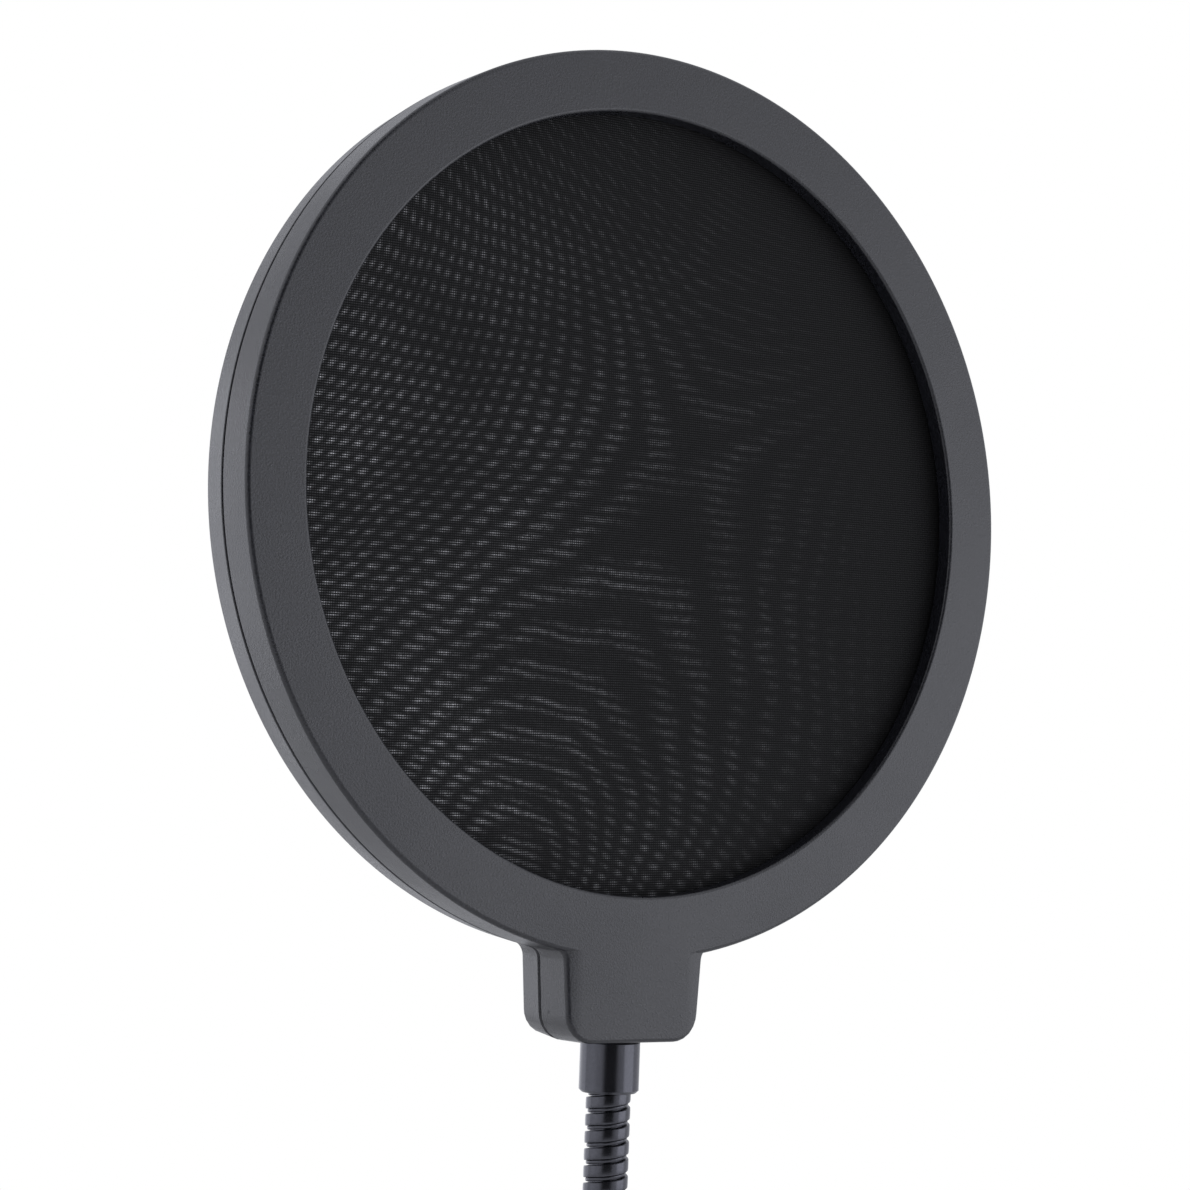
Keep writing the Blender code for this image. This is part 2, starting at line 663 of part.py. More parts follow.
def clamp_frame():
    """The C-shaped body: a fixed arm, a spine that carries the swivel, and a threaded arm."""
    outline = [
        (FIXED_ARM_X - FIXED_ARM, ARM_REACH, FIXED_ARM / 2 - GAP),
        (FIXED_ARM_X - FIXED_ARM, SPINE_FRONT_Y, CLAMP_CORNER),
        (ARM_OUTER_X, SPINE_FRONT_Y, CLAMP_CORNER),
        (ARM_OUTER_X, ARM_REACH, THREADED_ARM / 2 - GAP),
        (ARM_INNER_X, ARM_REACH, 2 * CLAMP_EDGE),
        (ARM_INNER_X, SPINE_BACK_Y, 2 * CLAMP_EDGE),
        (FIXED_ARM_X, SPINE_BACK_Y, 2 * CLAMP_EDGE),
        (FIXED_ARM_X, ARM_REACH, 2 * CLAMP_EDGE),
    ]
    frame = slab("clamp_frame", rounded(outline), CLAMP_HEIGHT, CLAMP_EDGE, PARTS, (0, 0, 0))
    arm_place = (ARM_INNER_X, 0, 0)
    through = THREADED_ARM + OVERSHOOT
    screw_hole = SCREW_RADIUS + 2 * GAP
    cut(frame, rod("clamp_screw_hole", screw_hole, -OVERSHOOT, through, CUTTERS, arm_place, ALONG_X))
    nut_pocket = hex_radius(CLAMP_NUT_FLATS) + GAP
    pocket_depth = CLAMP_NUT_HEIGHT + 2 * GAP
    pocket = rod(
        "clamp_nut_pocket", nut_pocket, -OVERSHOOT, pocket_depth, CUTTERS, arm_place, ALONG_X, HEX_STEPS
    )
    cut(frame, pocket)
    spine_place = (NECK_X, SPINE_BACK_Y, 0)
    hole = BOLT_RADIUS + GAP
    end = SPINE + OVERSHOOT
    cut(frame, rod("spine_bolt_hole", hole, -OVERSHOOT, end, CUTTERS, spine_place, ALONG_MINUS_Y))
    nut_hole = hex_radius(BOLT_FLATS) + GAP
    nut_floor = BOLT_NUT_HEIGHT + 2 * GAP
    pocket = rod(
        "spine_nut_pocket", nut_hole, -OVERSHOOT, nut_floor,
        CUTTERS, spine_place, ALONG_MINUS_Y, HEX_STEPS,
    )
    cut(frame, pocket)
    return finish(frame, "clamp_plastic")


def jaw_pad():
    """The fixed jaw's rubber pad, whose face is the plane x = 0."""
    half_width = JAW_PAD_WIDTH / 2
    half_height = JAW_PAD_HEIGHT / 2
    outline = [
        (-half_height, -half_width, 2 * CLAMP_EDGE),
        (half_height, -half_width, 2 * CLAMP_EDGE),
        (half_height, half_width, 2 * CLAMP_EDGE),
        (-half_height, half_width, 2 * CLAMP_EDGE),
    ]
    place = (-PAD_RUBBER / 2, 0, 0)
    pad = slab("jaw_pad", rounded(outline), PAD_RUBBER, GAP, PARTS, place, ALONG_X)
    return finish(pad, "rubber")


def clamp_nut():
    place = (ARM_INNER_X + GAP, 0, 0)
    bore = SCREW_RADIUS + GAP
    nut = hex_nut("clamp_nut", CLAMP_NUT_FLATS, bore, 0, CLAMP_NUT_HEIGHT, PARTS, place, ALONG_X)
    return finish(nut, "brass")


def pad_face():
    place = (REST_OPENING, 0, 0)
    section = [
        (0, PAD_RUBBER),
        (PAD_RADIUS, PAD_RUBBER),
        (PAD_RADIUS, GAP),
        (PAD_RADIUS - GAP, 0),
        (0, 0),
    ]
    face = turned("pad_face", section, PARTS, place, ALONG_X)
    return finish(face, "rubber")


def pad_plate():
    """The moving jaw: a disc behind the rubber, with a hub that the screw's tip turns in."""
    bore = SCREW_TIP_RADIUS + GAP
    recess = CLIP_RADIUS + 2 * GAP
    profile = [
        (PAD_HUB_RADIUS, PAD_DISC + PAD_HUB),
        (PAD_HUB_RADIUS, PAD_DISC),
        (PAD_RADIUS, PAD_DISC),
        (PAD_RADIUS, 0),
        (recess, 0),
        (recess, CLIP_RECESS),
        (bore, CLIP_RECESS),
        (bore, PAD_DISC + PAD_HUB),
    ]
    plate = turned("pad_plate", profile, PARTS, (PLATE_X, 0, 0), ALONG_X, closed=True)
    return finish(plate, "clamp_plastic")


def pad_clip():
    clip_low = 3 * GAP
    clip = tube(
        "pad_clip", SCREW_GROOVE_RADIUS + GAP, CLIP_RADIUS, clip_low, clip_low + CLIP_THICKNESS,
        PARTS, (PLATE_X, 0, 0), ALONG_X,
    )
    return finish(clip, "zinc")


def clamp_screw():
    """The screw without its thread: a tip with the clip's groove, a shoulder and a long shaft."""
    groove_low = 2 * GAP
    groove_high = 4 * GAP + CLIP_THICKNESS
    shoulder = PAD_DISC + PAD_HUB + GAP
    profile = [
        (0, KNOB_X + KNOB_HUB + KNOB_GRIP / 2 - PLATE_X),
        (SCREW_RADIUS, KNOB_X + KNOB_HUB + KNOB_GRIP / 2 - PLATE_X),
        (SCREW_RADIUS, shoulder),
        (SCREW_TIP_RADIUS, shoulder),
        (SCREW_TIP_RADIUS, groove_high),
        (SCREW_GROOVE_RADIUS, groove_high),
        (SCREW_GROOVE_RADIUS, groove_low),
        (SCREW_TIP_RADIUS, groove_low),
        (SCREW_TIP_RADIUS, GAP / 2),
        (0, GAP / 2),
    ]
    screw = turned("clamp_screw", profile, PARTS, (PLATE_X, 0, 0), ALONG_X)
    return finish(screw, "zinc")


def clamp_knob():
    outline = []
    for step in range(KNOB_LOBES * KNOB_STEPS_PER_LOBE):
        angle = 2 * math.pi * step / (KNOB_LOBES * KNOB_STEPS_PER_LOBE)
        radius = KNOB_RADIUS + KNOB_LOBE_DEPTH * math.cos(KNOB_LOBES * angle)
        outline.append((radius * math.cos(angle), radius * math.sin(angle)))
    grip_x = KNOB_X + KNOB_HUB + KNOB_GRIP / 2
    knob = slab("clamp_knob", outline, KNOB_GRIP, CLAMP_EDGE, PARTS, (grip_x, 0, 0), ALONG_X)
    place = (KNOB_X, 0, 0)
    hub_end = KNOB_HUB + KNOB_GRIP / 2
    join(knob, rod("knob_hub", KNOB_HUB_RADIUS, 0, hub_end, CUTTERS, place, ALONG_X))
    bore_end = hub_end + GAP
    cut(knob, rod("knob_bore", SCREW_RADIUS + GAP, -OVERSHOOT, bore_end, CUTTERS, place, ALONG_X))
    recess_floor = KNOB_HUB + KNOB_GRIP - KNOB_CAP_HEIGHT
    recess_end = KNOB_HUB + KNOB_GRIP + OVERSHOOT
    recess = rod("knob_recess", KNOB_CAP_RADIUS + GAP, recess_floor, recess_end, CUTTERS, place, ALONG_X)
    cut(knob, recess)
    return finish(knob, "clamp_plastic")


def knob_cap():
    low = KNOB_HUB + KNOB_GRIP - KNOB_CAP_HEIGHT + GAP
    high = low + KNOB_CAP_HEIGHT
    cap = rod("knob_cap", KNOB_CAP_RADIUS, low, high, PARTS, (KNOB_X, 0, 0), ALONG_X)
    return finish(cap, "clamp_plastic")


def build_clamp():
    clamp_frame()
    jaw_pad()
    clamp_nut()
    moving_jaw = pivot("moving_jaw", (REST_OPENING, 0, 0))
    put_under(moving_jaw, pad_face(), pad_plate())
    turning_screw = pivot("turning_screw", (PLATE_X, 0, 0))
    put_under(turning_screw, pad_clip(), clamp_screw(), clamp_knob(), knob_cap())


clear_scene()
PARTS = new_collection("pop_filter")
CUTTERS = new_collection("cutters")
for colour_name in COLOURS:
    new_material(colour_name)
build_clamp()
build_swivel()
build_gooseneck()
build_head()
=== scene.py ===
"""The pop filter's looks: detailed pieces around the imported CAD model, with studio light and a camera.

Lengths are in metres in the row frame. +X runs along the clamp screw, +Z is up along the gooseneck, and
the head's front faces -Y.
"""

import json
import math

import bmesh
import bpy
from mathutils import Euler, Matrix, Vector


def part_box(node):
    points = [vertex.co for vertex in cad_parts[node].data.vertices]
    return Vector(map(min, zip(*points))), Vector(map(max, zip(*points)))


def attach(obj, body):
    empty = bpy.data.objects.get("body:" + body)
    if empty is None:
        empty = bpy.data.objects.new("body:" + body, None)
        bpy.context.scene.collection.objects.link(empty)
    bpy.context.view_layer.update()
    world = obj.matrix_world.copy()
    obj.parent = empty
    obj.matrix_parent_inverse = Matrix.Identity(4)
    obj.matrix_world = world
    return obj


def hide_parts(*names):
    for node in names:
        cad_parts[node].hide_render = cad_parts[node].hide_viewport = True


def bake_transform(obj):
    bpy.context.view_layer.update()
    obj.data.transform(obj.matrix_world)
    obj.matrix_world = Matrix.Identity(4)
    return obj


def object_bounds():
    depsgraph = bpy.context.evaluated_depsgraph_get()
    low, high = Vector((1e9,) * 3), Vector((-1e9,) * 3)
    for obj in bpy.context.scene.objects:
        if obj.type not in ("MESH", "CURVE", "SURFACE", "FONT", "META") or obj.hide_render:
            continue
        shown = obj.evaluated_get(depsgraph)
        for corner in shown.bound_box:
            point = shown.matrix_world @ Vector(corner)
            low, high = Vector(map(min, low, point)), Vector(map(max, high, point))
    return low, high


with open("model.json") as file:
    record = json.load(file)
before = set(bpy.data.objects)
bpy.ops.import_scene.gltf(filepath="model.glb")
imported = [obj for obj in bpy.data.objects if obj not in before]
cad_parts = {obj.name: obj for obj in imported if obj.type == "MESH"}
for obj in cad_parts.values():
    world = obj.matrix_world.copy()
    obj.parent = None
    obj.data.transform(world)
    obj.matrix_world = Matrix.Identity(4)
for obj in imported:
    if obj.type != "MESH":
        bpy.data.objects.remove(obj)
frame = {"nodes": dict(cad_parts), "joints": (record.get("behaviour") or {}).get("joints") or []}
cad_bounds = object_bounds()

MM = 0.001

# Turns that lay an object's own Z axis along a world axis
UPRIGHT = Euler((0, 0, 0))
ALONG_X = Euler((0, math.pi / 2, 0))
ALONG_MINUS_Y = Euler((math.pi / 2, 0, 0))

# Fineness
ARC_STEPS = 6
LATHE_STEPS = 96
RING_STEPS = 288
COIL_STEPS = 44
BORE_STEPS = 48
BEVEL_STEPS = 4
MERGE = 0.002 * MM
SHARP_ANGLE = math.radians(32)
OVERSHOOT = 1.0 * MM
GAP = 0.3 * MM


def middle(node):
    low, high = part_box(node)
    return (low + high) / 2


def joint_named(name):
    return next(joint for joint in frame["joints"] if joint["name"] == name)


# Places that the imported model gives
FACE_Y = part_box("front_frame")[0].y
SEAM_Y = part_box("front_frame")[1].y
REAR_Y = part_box("rear_frame")[1].y
SPIGOT_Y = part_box("rear_frame")[0].y
TAB_BASE_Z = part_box("front_frame")[0].z
HEAD_RADIUS = (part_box("front_frame")[1].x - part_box("front_frame")[0].x) / 2
HEAD = Vector((middle("front_frame").x, FACE_Y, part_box("front_frame")[1].z - HEAD_RADIUS))
SCREEN_RADIUS = (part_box("front_screen")[1].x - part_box("front_screen")[0].x) / 2
NECK = Vector((middle("upper_ferrule").x, middle("upper_ferrule").y, 0))


# Camera ------------------------------------------------------------------------------------------------

CAMERA_FROM_HEAD = Vector((-251.86, -353.96, -52.52)) * MM
CAMERA_YAW = math.radians(34.12)
CAMERA_PITCH = math.radians(4.78)
CAMERA_ROLL = math.radians(2.09)
CAMERA_LENS = 77.7


def add_camera():
    """A camera at the photograph's angle, which looks up a little from the head's front left."""
    data = bpy.data.cameras.new("camera")
    data.lens = CAMERA_LENS
    data.clip_start = 0.01
    camera = bpy.data.objects.new("camera", data)
    bpy.context.scene.collection.objects.link(camera)
    level = Matrix.Rotation(-CAMERA_YAW, 4, "Z") @ Matrix.Rotation(math.pi / 2 + CAMERA_PITCH, 4, "X")
    place = Matrix.Translation(HEAD + CAMERA_FROM_HEAD)
    camera.matrix_world = place @ level @ Matrix.Rotation(CAMERA_ROLL, 4, "Z")
    bpy.context.scene.camera = camera


# Light -------------------------------------------------------------------------------------------------

LIGHT_DISTANCE = 1.2
# name, bearing from the head's face (positive to +X), elevation, width, height, watts
SOFTBOXES = (
    ("softbox_left", -105, 8, 2.4, 1.15, 0.75),
    ("softbox_back", -170, -2, 1.5, 0.75, 1.9),
    ("softbox_right", 47, -4, 1.0, 0.68, 1.6),
)
DARK_BEARING = math.radians(-30)
# cosine of the angle from that bearing, light
ROOM_LIGHT = ((-1.0, 0.70), (0.30, 0.94), (0.72, 0.71), (0.84, 0.55), (0.965, 0.02))
LIGHT_TINT = (0.955, 0.97, 1.045)
FLOOR_RADIUS = 1.4
FLOOR_THICKNESS = 2.0 * MM
FLOOR_CLEARANCE = 0.2 * MM


def add_softbox(name, bearing, elevation, width, height, watts):
    data = bpy.data.lights.new(name, "AREA")
    data.shape = "RECTANGLE"
    data.size = width
    data.size_y = height
    data.energy = watts
    data.color = LIGHT_TINT
    light = bpy.data.objects.new(name, data)
    bpy.context.scene.collection.objects.link(light)
    turn = math.radians(bearing)
    rise = math.radians(elevation)
    away = Vector((math.sin(turn) * math.cos(rise), -math.cos(turn) * math.cos(rise), math.sin(rise)))
    light.location = HEAD + away * LIGHT_DISTANCE
    light.rotation_euler = away.to_track_quat("Z", "Y").to_euler()
    light.visible_camera = False


def room_colour(nodes, links):
    """The room's light in each direction, from the angle between it and the dark bearing."""
    place = nodes.new("ShaderNodeTexCoord")
    level = nodes.new("ShaderNodeVectorMath")
    level.operation = "MULTIPLY"
    level.inputs[1].default_value = (1, 1, 0)
    unit = nodes.new("ShaderNodeVectorMath")
    unit.operation = "NORMALIZE"
    facing = nodes.new("ShaderNodeVectorMath")
    facing.operation = "DOT_PRODUCT"
    facing.inputs[1].default_value = (math.sin(DARK_BEARING), -math.cos(DARK_BEARING), 0)
    halve = nodes.new("ShaderNodeMath")
    halve.operation = "MULTIPLY_ADD"
    halve.inputs[1].default_value = 0.5
    halve.inputs[2].default_value = 0.5
    ramp = nodes.new("ShaderNodeValToRGB")
    ramp.color_ramp.interpolation = "EASE"
    for number, (cosine, light) in enumerate(ROOM_LIGHT):
        position = (cosine + 1) / 2
        elements = ramp.color_ramp.elements
        stop = elements[number] if number < 2 else elements.new(position)
        stop.position = position
        stop.color = (*(light * share for share in LIGHT_TINT), 1)
    links.new(place.outputs["Generated"], level.inputs[0])
    links.new(level.outputs["Vector"], unit.inputs[0])
    links.new(unit.outputs["Vector"], facing.inputs[0])
    links.new(facing.outputs["Value"], halve.inputs[0])
    links.new(halve.outputs["Value"], ramp.inputs["Fac"])
    return ramp.outputs["Color"]


def add_world():
    """White behind the object. It is lit by a white room with a dark gap on the camera's side."""
    world = bpy.data.worlds.new("studio")
    bpy.context.scene.world = world
    world.use_nodes = True
    nodes = world.node_tree.nodes
    links = world.node_tree.links
    backdrop = nodes["Background"]
    backdrop.inputs["Color"].default_value = (1, 1, 1, 1)
    room = nodes.new("ShaderNodeBackground")
    path = nodes.new("ShaderNodeLightPath")
    mix = nodes.new("ShaderNodeMixShader")
    links.new(room_colour(nodes, links), room.inputs["Color"])
    links.new(path.outputs["Is Camera Ray"], mix.inputs["Fac"])
    links.new(room.outputs["Background"], mix.inputs[1])
    links.new(backdrop.outputs["Background"], mix.inputs[2])
    links.new(mix.outputs["Shader"], nodes["World Output"].inputs["Surface"])


def add_studio(floor_paint):
    bpy.context.scene.view_settings.view_transform = "Standard"
    add_world()
    for softbox in SOFTBOXES:
        add_softbox(*softbox)
    place = (NECK.x, NECK.y, cad_bounds[0].z - FLOOR_CLEARANCE)
    floor = rod("floor", FLOOR_RADIUS, -FLOOR_THICKNESS, 0, place)
    floor.data.materials.append(floor_paint)


# Materials ---------------------------------------------------------------------------------------------

class Recipe:
    """A material's node tree, with short ways to add and join nodes."""

    def __init__(self, name):
        self.material = bpy.data.materials.new(name)
        self.material.use_nodes = True
        self.nodes = self.material.node_tree.nodes
        self.links = self.material.node_tree.links
        self.shader = self.nodes["Principled BSDF"]
        self.place = self.nodes.new("ShaderNodeTexCoord").outputs["Object"]

    def feed(self, socket, value):
        if isinstance(value, bpy.types.NodeSocket):
            self.links.new(value, socket)
        else:
            socket.default_value = value

    def set(self, name, value):
        self.feed(self.shader.inputs[name], value)

    def add(self, kind, output, settings, **inputs):
        node = self.nodes.new("ShaderNode" + kind)
        for name, value in settings.items():
            setattr(node, name, value)
        for name, value in inputs.items():
            self.feed(node.inputs[name.replace("_", " ")], value)
        return node.outputs[output]

    def maths(self, operation, *values):
        node = self.nodes.new("ShaderNodeMath")
        node.operation = operation
        for socket, value in zip(node.inputs, values):
            self.feed(socket, value)
        return node.outputs[0]

    def axes(self, vector):
        """The three coordinates of a vector, in millimetres."""
        scaled = self.add("VectorMath", "Vector", {"operation": "SCALE"}, Vector=vector, Scale=1 / MM)
        node = self.nodes.new("ShaderNodeSeparateXYZ")
        self.links.new(scaled, node.inputs[0])
        return node.outputs

    def noise(self, size, detail=2.0, roughness=0.5):
        """Smooth noise from 0 to 1 whose features are about this large."""
        return self.add(
            "TexNoise", "Fac", {}, Vector=self.place, Scale=1 / size, Detail=detail, Roughness=roughness
        )

    def spread(self, value, low, high, from_low=0.3, from_high=0.7):
        """A value mapped to another range; if no range is given it is 0.3 to 0.7, as noise mostly is."""
        return self.add(
            "MapRange", "Result", {}, Value=value, From_Min=from_low, From_Max=from_high,
            To_Min=low, To_Max=high,
        )

    def tint(self, colour, factor):
        """A colour made lighter or darker by a factor from nodes."""
        return self.add("VectorMath", "Vector", {"operation": "SCALE"}, Vector=colour, Scale=factor)

    def bumps(self, height, distance):
        return self.add("Bump", "Normal", {}, Height=height, Distance=distance)


PATCH_SIZE = 18.0 * MM
ROUGHNESS_DRIFT = 0.05
# colour, roughness, the grain's size and depth, and how far its patches and specks stray from the colour
LOOKS = {
    "frame_plastic": dict(
        colour=(0.0138, 0.0143, 0.0182), roughness=0.27, grain=0.34 * MM, bump=0.075 * MM,
        speckle=0.9, specular=0.72,
    ),
    "black_lacquer": dict(
        colour=(0.095, 0.096, 0.108), roughness=0.20, grain=0.5 * MM, bump=0.002 * MM, metallic=0.9,
    ),
    "clamp_plastic": dict(
        colour=(0.020, 0.020, 0.022), roughness=0.42, grain=0.6 * MM, bump=0.08 * MM, speckle=0.2,
    ),
    "cap_plastic": dict(colour=(0.016, 0.016, 0.018), roughness=0.22, grain=0.6 * MM, bump=0.01 * MM),
    "spacer_plastic": dict(colour=(0.012, 0.012, 0.013), roughness=0.5, grain=0.6 * MM, bump=0.03 * MM),
    "rubber": dict(
        colour=(0.012, 0.012, 0.012), roughness=0.75, grain=0.3 * MM, bump=0.05 * MM, specular=0.3,
    ),
    "zinc": dict(colour=(0.52, 0.53, 0.56), roughness=0.30, grain=0.25 * MM, bump=0.01 * MM, metallic=1.0),
    "brass": dict(colour=(0.58, 0.42, 0.17), roughness=0.32, grain=0.25 * MM, bump=0.01 * MM, metallic=1.0),
    "floor_paint": dict(
        colour=(0.86, 0.86, 0.85), roughness=0.8, grain=1.5 * MM, bump=0.02 * MM, mottle=0.01, speckle=0.02,
    ),
}


def moulded(name, colour, roughness, grain, bump, mottle=0.05, speckle=0.1, metallic=0.0, specular=0.5):
    """A moulded, painted or metal surface: a fine grain, and patches that are a little darker or duller."""
    recipe = Recipe(name)
    patches = recipe.noise(PATCH_SIZE, detail=4.0)
    fine = recipe.noise(grain, detail=3.0, roughness=0.65)
    shade = recipe.maths(
        "MULTIPLY",
        recipe.spread(patches, 1 - mottle, 1 + mottle),
        recipe.spread(fine, 1 - speckle, 1 + speckle),
    )
    recipe.set("Base Color", recipe.tint(colour, shade))
    duller = recipe.spread(patches, roughness - ROUGHNESS_DRIFT, roughness + ROUGHNESS_DRIFT)
    recipe.set("Roughness", duller)
    recipe.set("Metallic", metallic)
    recipe.set("Specular IOR Level", specular)
    recipe.set("Normal", recipe.bumps(fine, bump))
    return recipe.material


# The rear weave lies a little differently from the front one, and where their threads fall in step the
# screens let light through; that light is painted into the screen's colour as bright specks. Each beat is a
# sum of terms (share, power of x, power of z), in millimetres from the head's middle, whose whole numbers
# are the bright columns or rows of painted light.
COLUMN_BEAT = (
    (-0.04, 1, 0), (0.06, 0, 1), (0.0029, 2, 0), (-0.0040, 1, 1), (-0.0015, 0, 2),
    (0.000026, 2, 1), (-0.000035, 1, 2), (-0.000039, 0, 3),
)
ROW_BEAT = ((0.48, 0, 1), (0.00005, 1, 2))
# Around SLACK_PLACE, at the head's lower left, the cloth is slack and its columns move by SLACK_BEATS
SLACK_PLACE = (-25, -70)
SLACK_REACH = 25.0
SLACK_BEATS = 8.6
WANDER_SIZE = 25.0 * MM
WANDER_BEATS = 0.40
# The painted speck light's strength in the colour, its sharpness, and the painted haze of light between
# specks
PAINTED_SPECK_LIGHT = 0.175
SPECK_POWER = 1.5
PAINTED_SPECK_HAZE = 0.06
# The painted specks of light are brightest at the head's left, because the openness changes by these shares
# over 66 mm to its right and upwards, and they fade to its top
OPEN_SLOPES = (-0.92 / 66, -0.20 / 66)
OPEN_RANGE = (-0.9, 1.1)
OPEN_LEAST = 0.02
OPEN_POWER = 2.0
TOP_FADE = (10.0, 60.0)
TOP_LIGHT = 0.45
# Patches and flicker in the painted speck light
CLOUD_SIZE = 22.0 * MM
CLOUD_LIGHT = (0.45, 1.5)
FLICKER_SIZE = 1.4 * MM
FLICKER_LIGHT = (0.1, 2.1)
# The threads: pitches in millimetres, the strength of the painted glints on their tops, and how the weave's
# colour (painted shade in the gaps, painted light on the threads) and roughness change from gap to thread
WARP_PITCH = 0.42
WEFT_PITCH = 0.40
WEFT_SLOPE = 0.03
WARP_SHARE = 0.6
GLINT_LIGHT = 4.6
SCREEN_COLOUR = (1.0, 1.0, 1.02)
SCREEN_BASE = 0.0130
SCREEN_SHADE = (0.45, 2.1)
SCREEN_ROUGHNESS = (0.75, 0.6)
SCREEN_SPECULAR = 0.12
THREAD_HEIGHT = 0.03 * MM


def beat(recipe, x, z, terms):
    total = 0.0
    for share, power_x, power_z in terms:
        term = share
        for value, power in ((x, power_x), (z, power_z)):
            for _ in range(power):
                term = recipe.maths("MULTIPLY", value, term)
        total = recipe.maths("ADD", term, total)
    return total


def crests(recipe, phase):
    """One at each whole number of a phase, falling to nothing halfway between."""
    wave = recipe.maths("COSINE", recipe.maths("MULTIPLY", phase, 2 * math.pi))
    return recipe.maths("MULTIPLY_ADD", wave, 0.5, 0.5)


def painted_speck_lattice(recipe, x, z):
    """How well the two screens' threads are in step, from 0 to 1, which places the painted specks of light.
    """
    off_x = recipe.maths("SUBTRACT", x, SLACK_PLACE[0])
    off_z = recipe.maths("SUBTRACT", z, SLACK_PLACE[1])
    distance = recipe.maths("ADD", *(recipe.maths("MULTIPLY", off, off) for off in (off_x, off_z)))
    slack = recipe.maths("EXPONENT", recipe.maths("MULTIPLY", distance, -1 / SLACK_REACH**2))
    wander = recipe.noise(WANDER_SIZE, detail=3.0, roughness=0.6)
    wander = recipe.spread(wander, -WANDER_BEATS, WANDER_BEATS)
    columns = recipe.maths("MULTIPLY_ADD", slack, -SLACK_BEATS, beat(recipe, x, z, COLUMN_BEAT))
    columns = recipe.maths("ADD", columns, wander)
    rows = recipe.maths("ADD", beat(recipe, x, z, ROW_BEAT), wander)
    lattice = recipe.maths("MULTIPLY", crests(recipe, columns), crests(recipe, rows))
    lattice = recipe.maths("POWER", lattice, SPECK_POWER)
    # A painted haze of light between the specks
    return recipe.maths("MULTIPLY_ADD", lattice, 1 - PAINTED_SPECK_HAZE, PAINTED_SPECK_HAZE)


def painted_light_openness(recipe, x, z):
    """How much of the painted light comes through both screens, from nearly none at the head's right to 1.
    """
    rises = [recipe.maths("MULTIPLY", value, slope) for value, slope in zip((x, z), OPEN_SLOPES)]
    low, high = OPEN_RANGE
    openness = recipe.spread(recipe.maths("ADD", *rises), OPEN_LEAST, 1.0, from_low=low, from_high=high)
    openness = recipe.maths("POWER", openness, OPEN_POWER)
    low, high = TOP_FADE
    fade = recipe.spread(z, 1.0, TOP_LIGHT, from_low=low, from_high=high)
    return recipe.maths("MULTIPLY", openness, fade)


def thread_tops(recipe, x, z):
    """The weave's threads, from 0 in its gaps to 1 where a warp thread and a weft thread cross."""
    warp = crests(recipe, recipe.maths("MULTIPLY", x, 1 / WARP_PITCH))
    across_weft = recipe.maths("MULTIPLY_ADD", x, -WEFT_SLOPE, z)
    weft = crests(recipe, recipe.maths("MULTIPLY", across_weft, 1 / WEFT_PITCH))
    return recipe.maths("MULTIPLY", weft, recipe.maths("MULTIPLY_ADD", warp, WARP_SHARE, 1 - WARP_SHARE))


def woven(name):
    """Black nylon weave, with painted light in its colour: bright specks where two such screens let light
    through.
    """
    recipe = Recipe(name)
    from_head = recipe.add("VectorMath", "Vector", {"operation": "SUBTRACT"}, Vector=recipe.place)
    from_head.node.inputs[1].default_value = HEAD
    x, _, z = recipe.axes(from_head)
    threads = thread_tops(recipe, x, z)
    # Patches and flicker in the painted speck light
    painted_light_clouds = recipe.spread(recipe.noise(CLOUD_SIZE, detail=3.0), *CLOUD_LIGHT)
    painted_light_flicker = recipe.spread(recipe.noise(FLICKER_SIZE, detail=3.0, roughness=0.8), *FLICKER_LIGHT)
    # Painted glints: the painted speck light is strongest on the thread tops
    glints = recipe.maths("MULTIPLY", recipe.maths("MULTIPLY", threads, threads), GLINT_LIGHT)
    light = painted_speck_lattice(recipe, x, z)
    for factor in (painted_light_openness(recipe, x, z), painted_light_clouds, painted_light_flicker, glints):
        light = recipe.maths("MULTIPLY", light, factor)
    # The weave's colour: painted shade in its gaps and painted light on its thread tops
    weave = recipe.spread(threads, *SCREEN_SHADE, from_low=0.0, from_high=1.0)
    # The base colour is the weave's colour plus the painted speck light
    shade = recipe.maths("MULTIPLY_ADD", light, PAINTED_SPECK_LIGHT, recipe.maths("MULTIPLY", weave, SCREEN_BASE))
    recipe.set("Base Color", recipe.tint(SCREEN_COLOUR, shade))
    recipe.set("Roughness", recipe.spread(threads, *SCREEN_ROUGHNESS, from_low=0.0, from_high=1.0))
    recipe.set("Specular IOR Level", SCREEN_SPECULAR)
    recipe.set("Normal", recipe.bumps(threads, THREAD_HEIGHT))
    return recipe.material


# Shapes ------------------------------------------------------------------------------------------------

def link(name, data, place=(0, 0, 0), turn=UPRIGHT):
    """An object at the origin, whose mesh is turned and moved to its place, as the CAD nodes' are."""
    data.transform(Matrix.Translation(place) @ turn.to_matrix().to_4x4())
    obj = bpy.data.objects.new(name, data)
    bpy.context.scene.collection.objects.link(obj)
    return obj


def tidy_mesh(mesh):
    """Welds the mesh, turns its faces outwards, and leaves only its real corners sharp."""
    cage = bmesh.new()
    cage.from_mesh(mesh)
    bmesh.ops.remove_doubles(cage, verts=cage.verts, dist=MERGE)
    bmesh.ops.dissolve_degenerate(cage, edges=cage.edges, dist=MERGE / 4)
    bmesh.ops.recalc_face_normals(cage, faces=cage.faces)
    cage.to_mesh(mesh)
    cage.free()
    mesh.shade_smooth()
    mesh.set_sharp_from_angle(angle=SHARP_ANGLE)


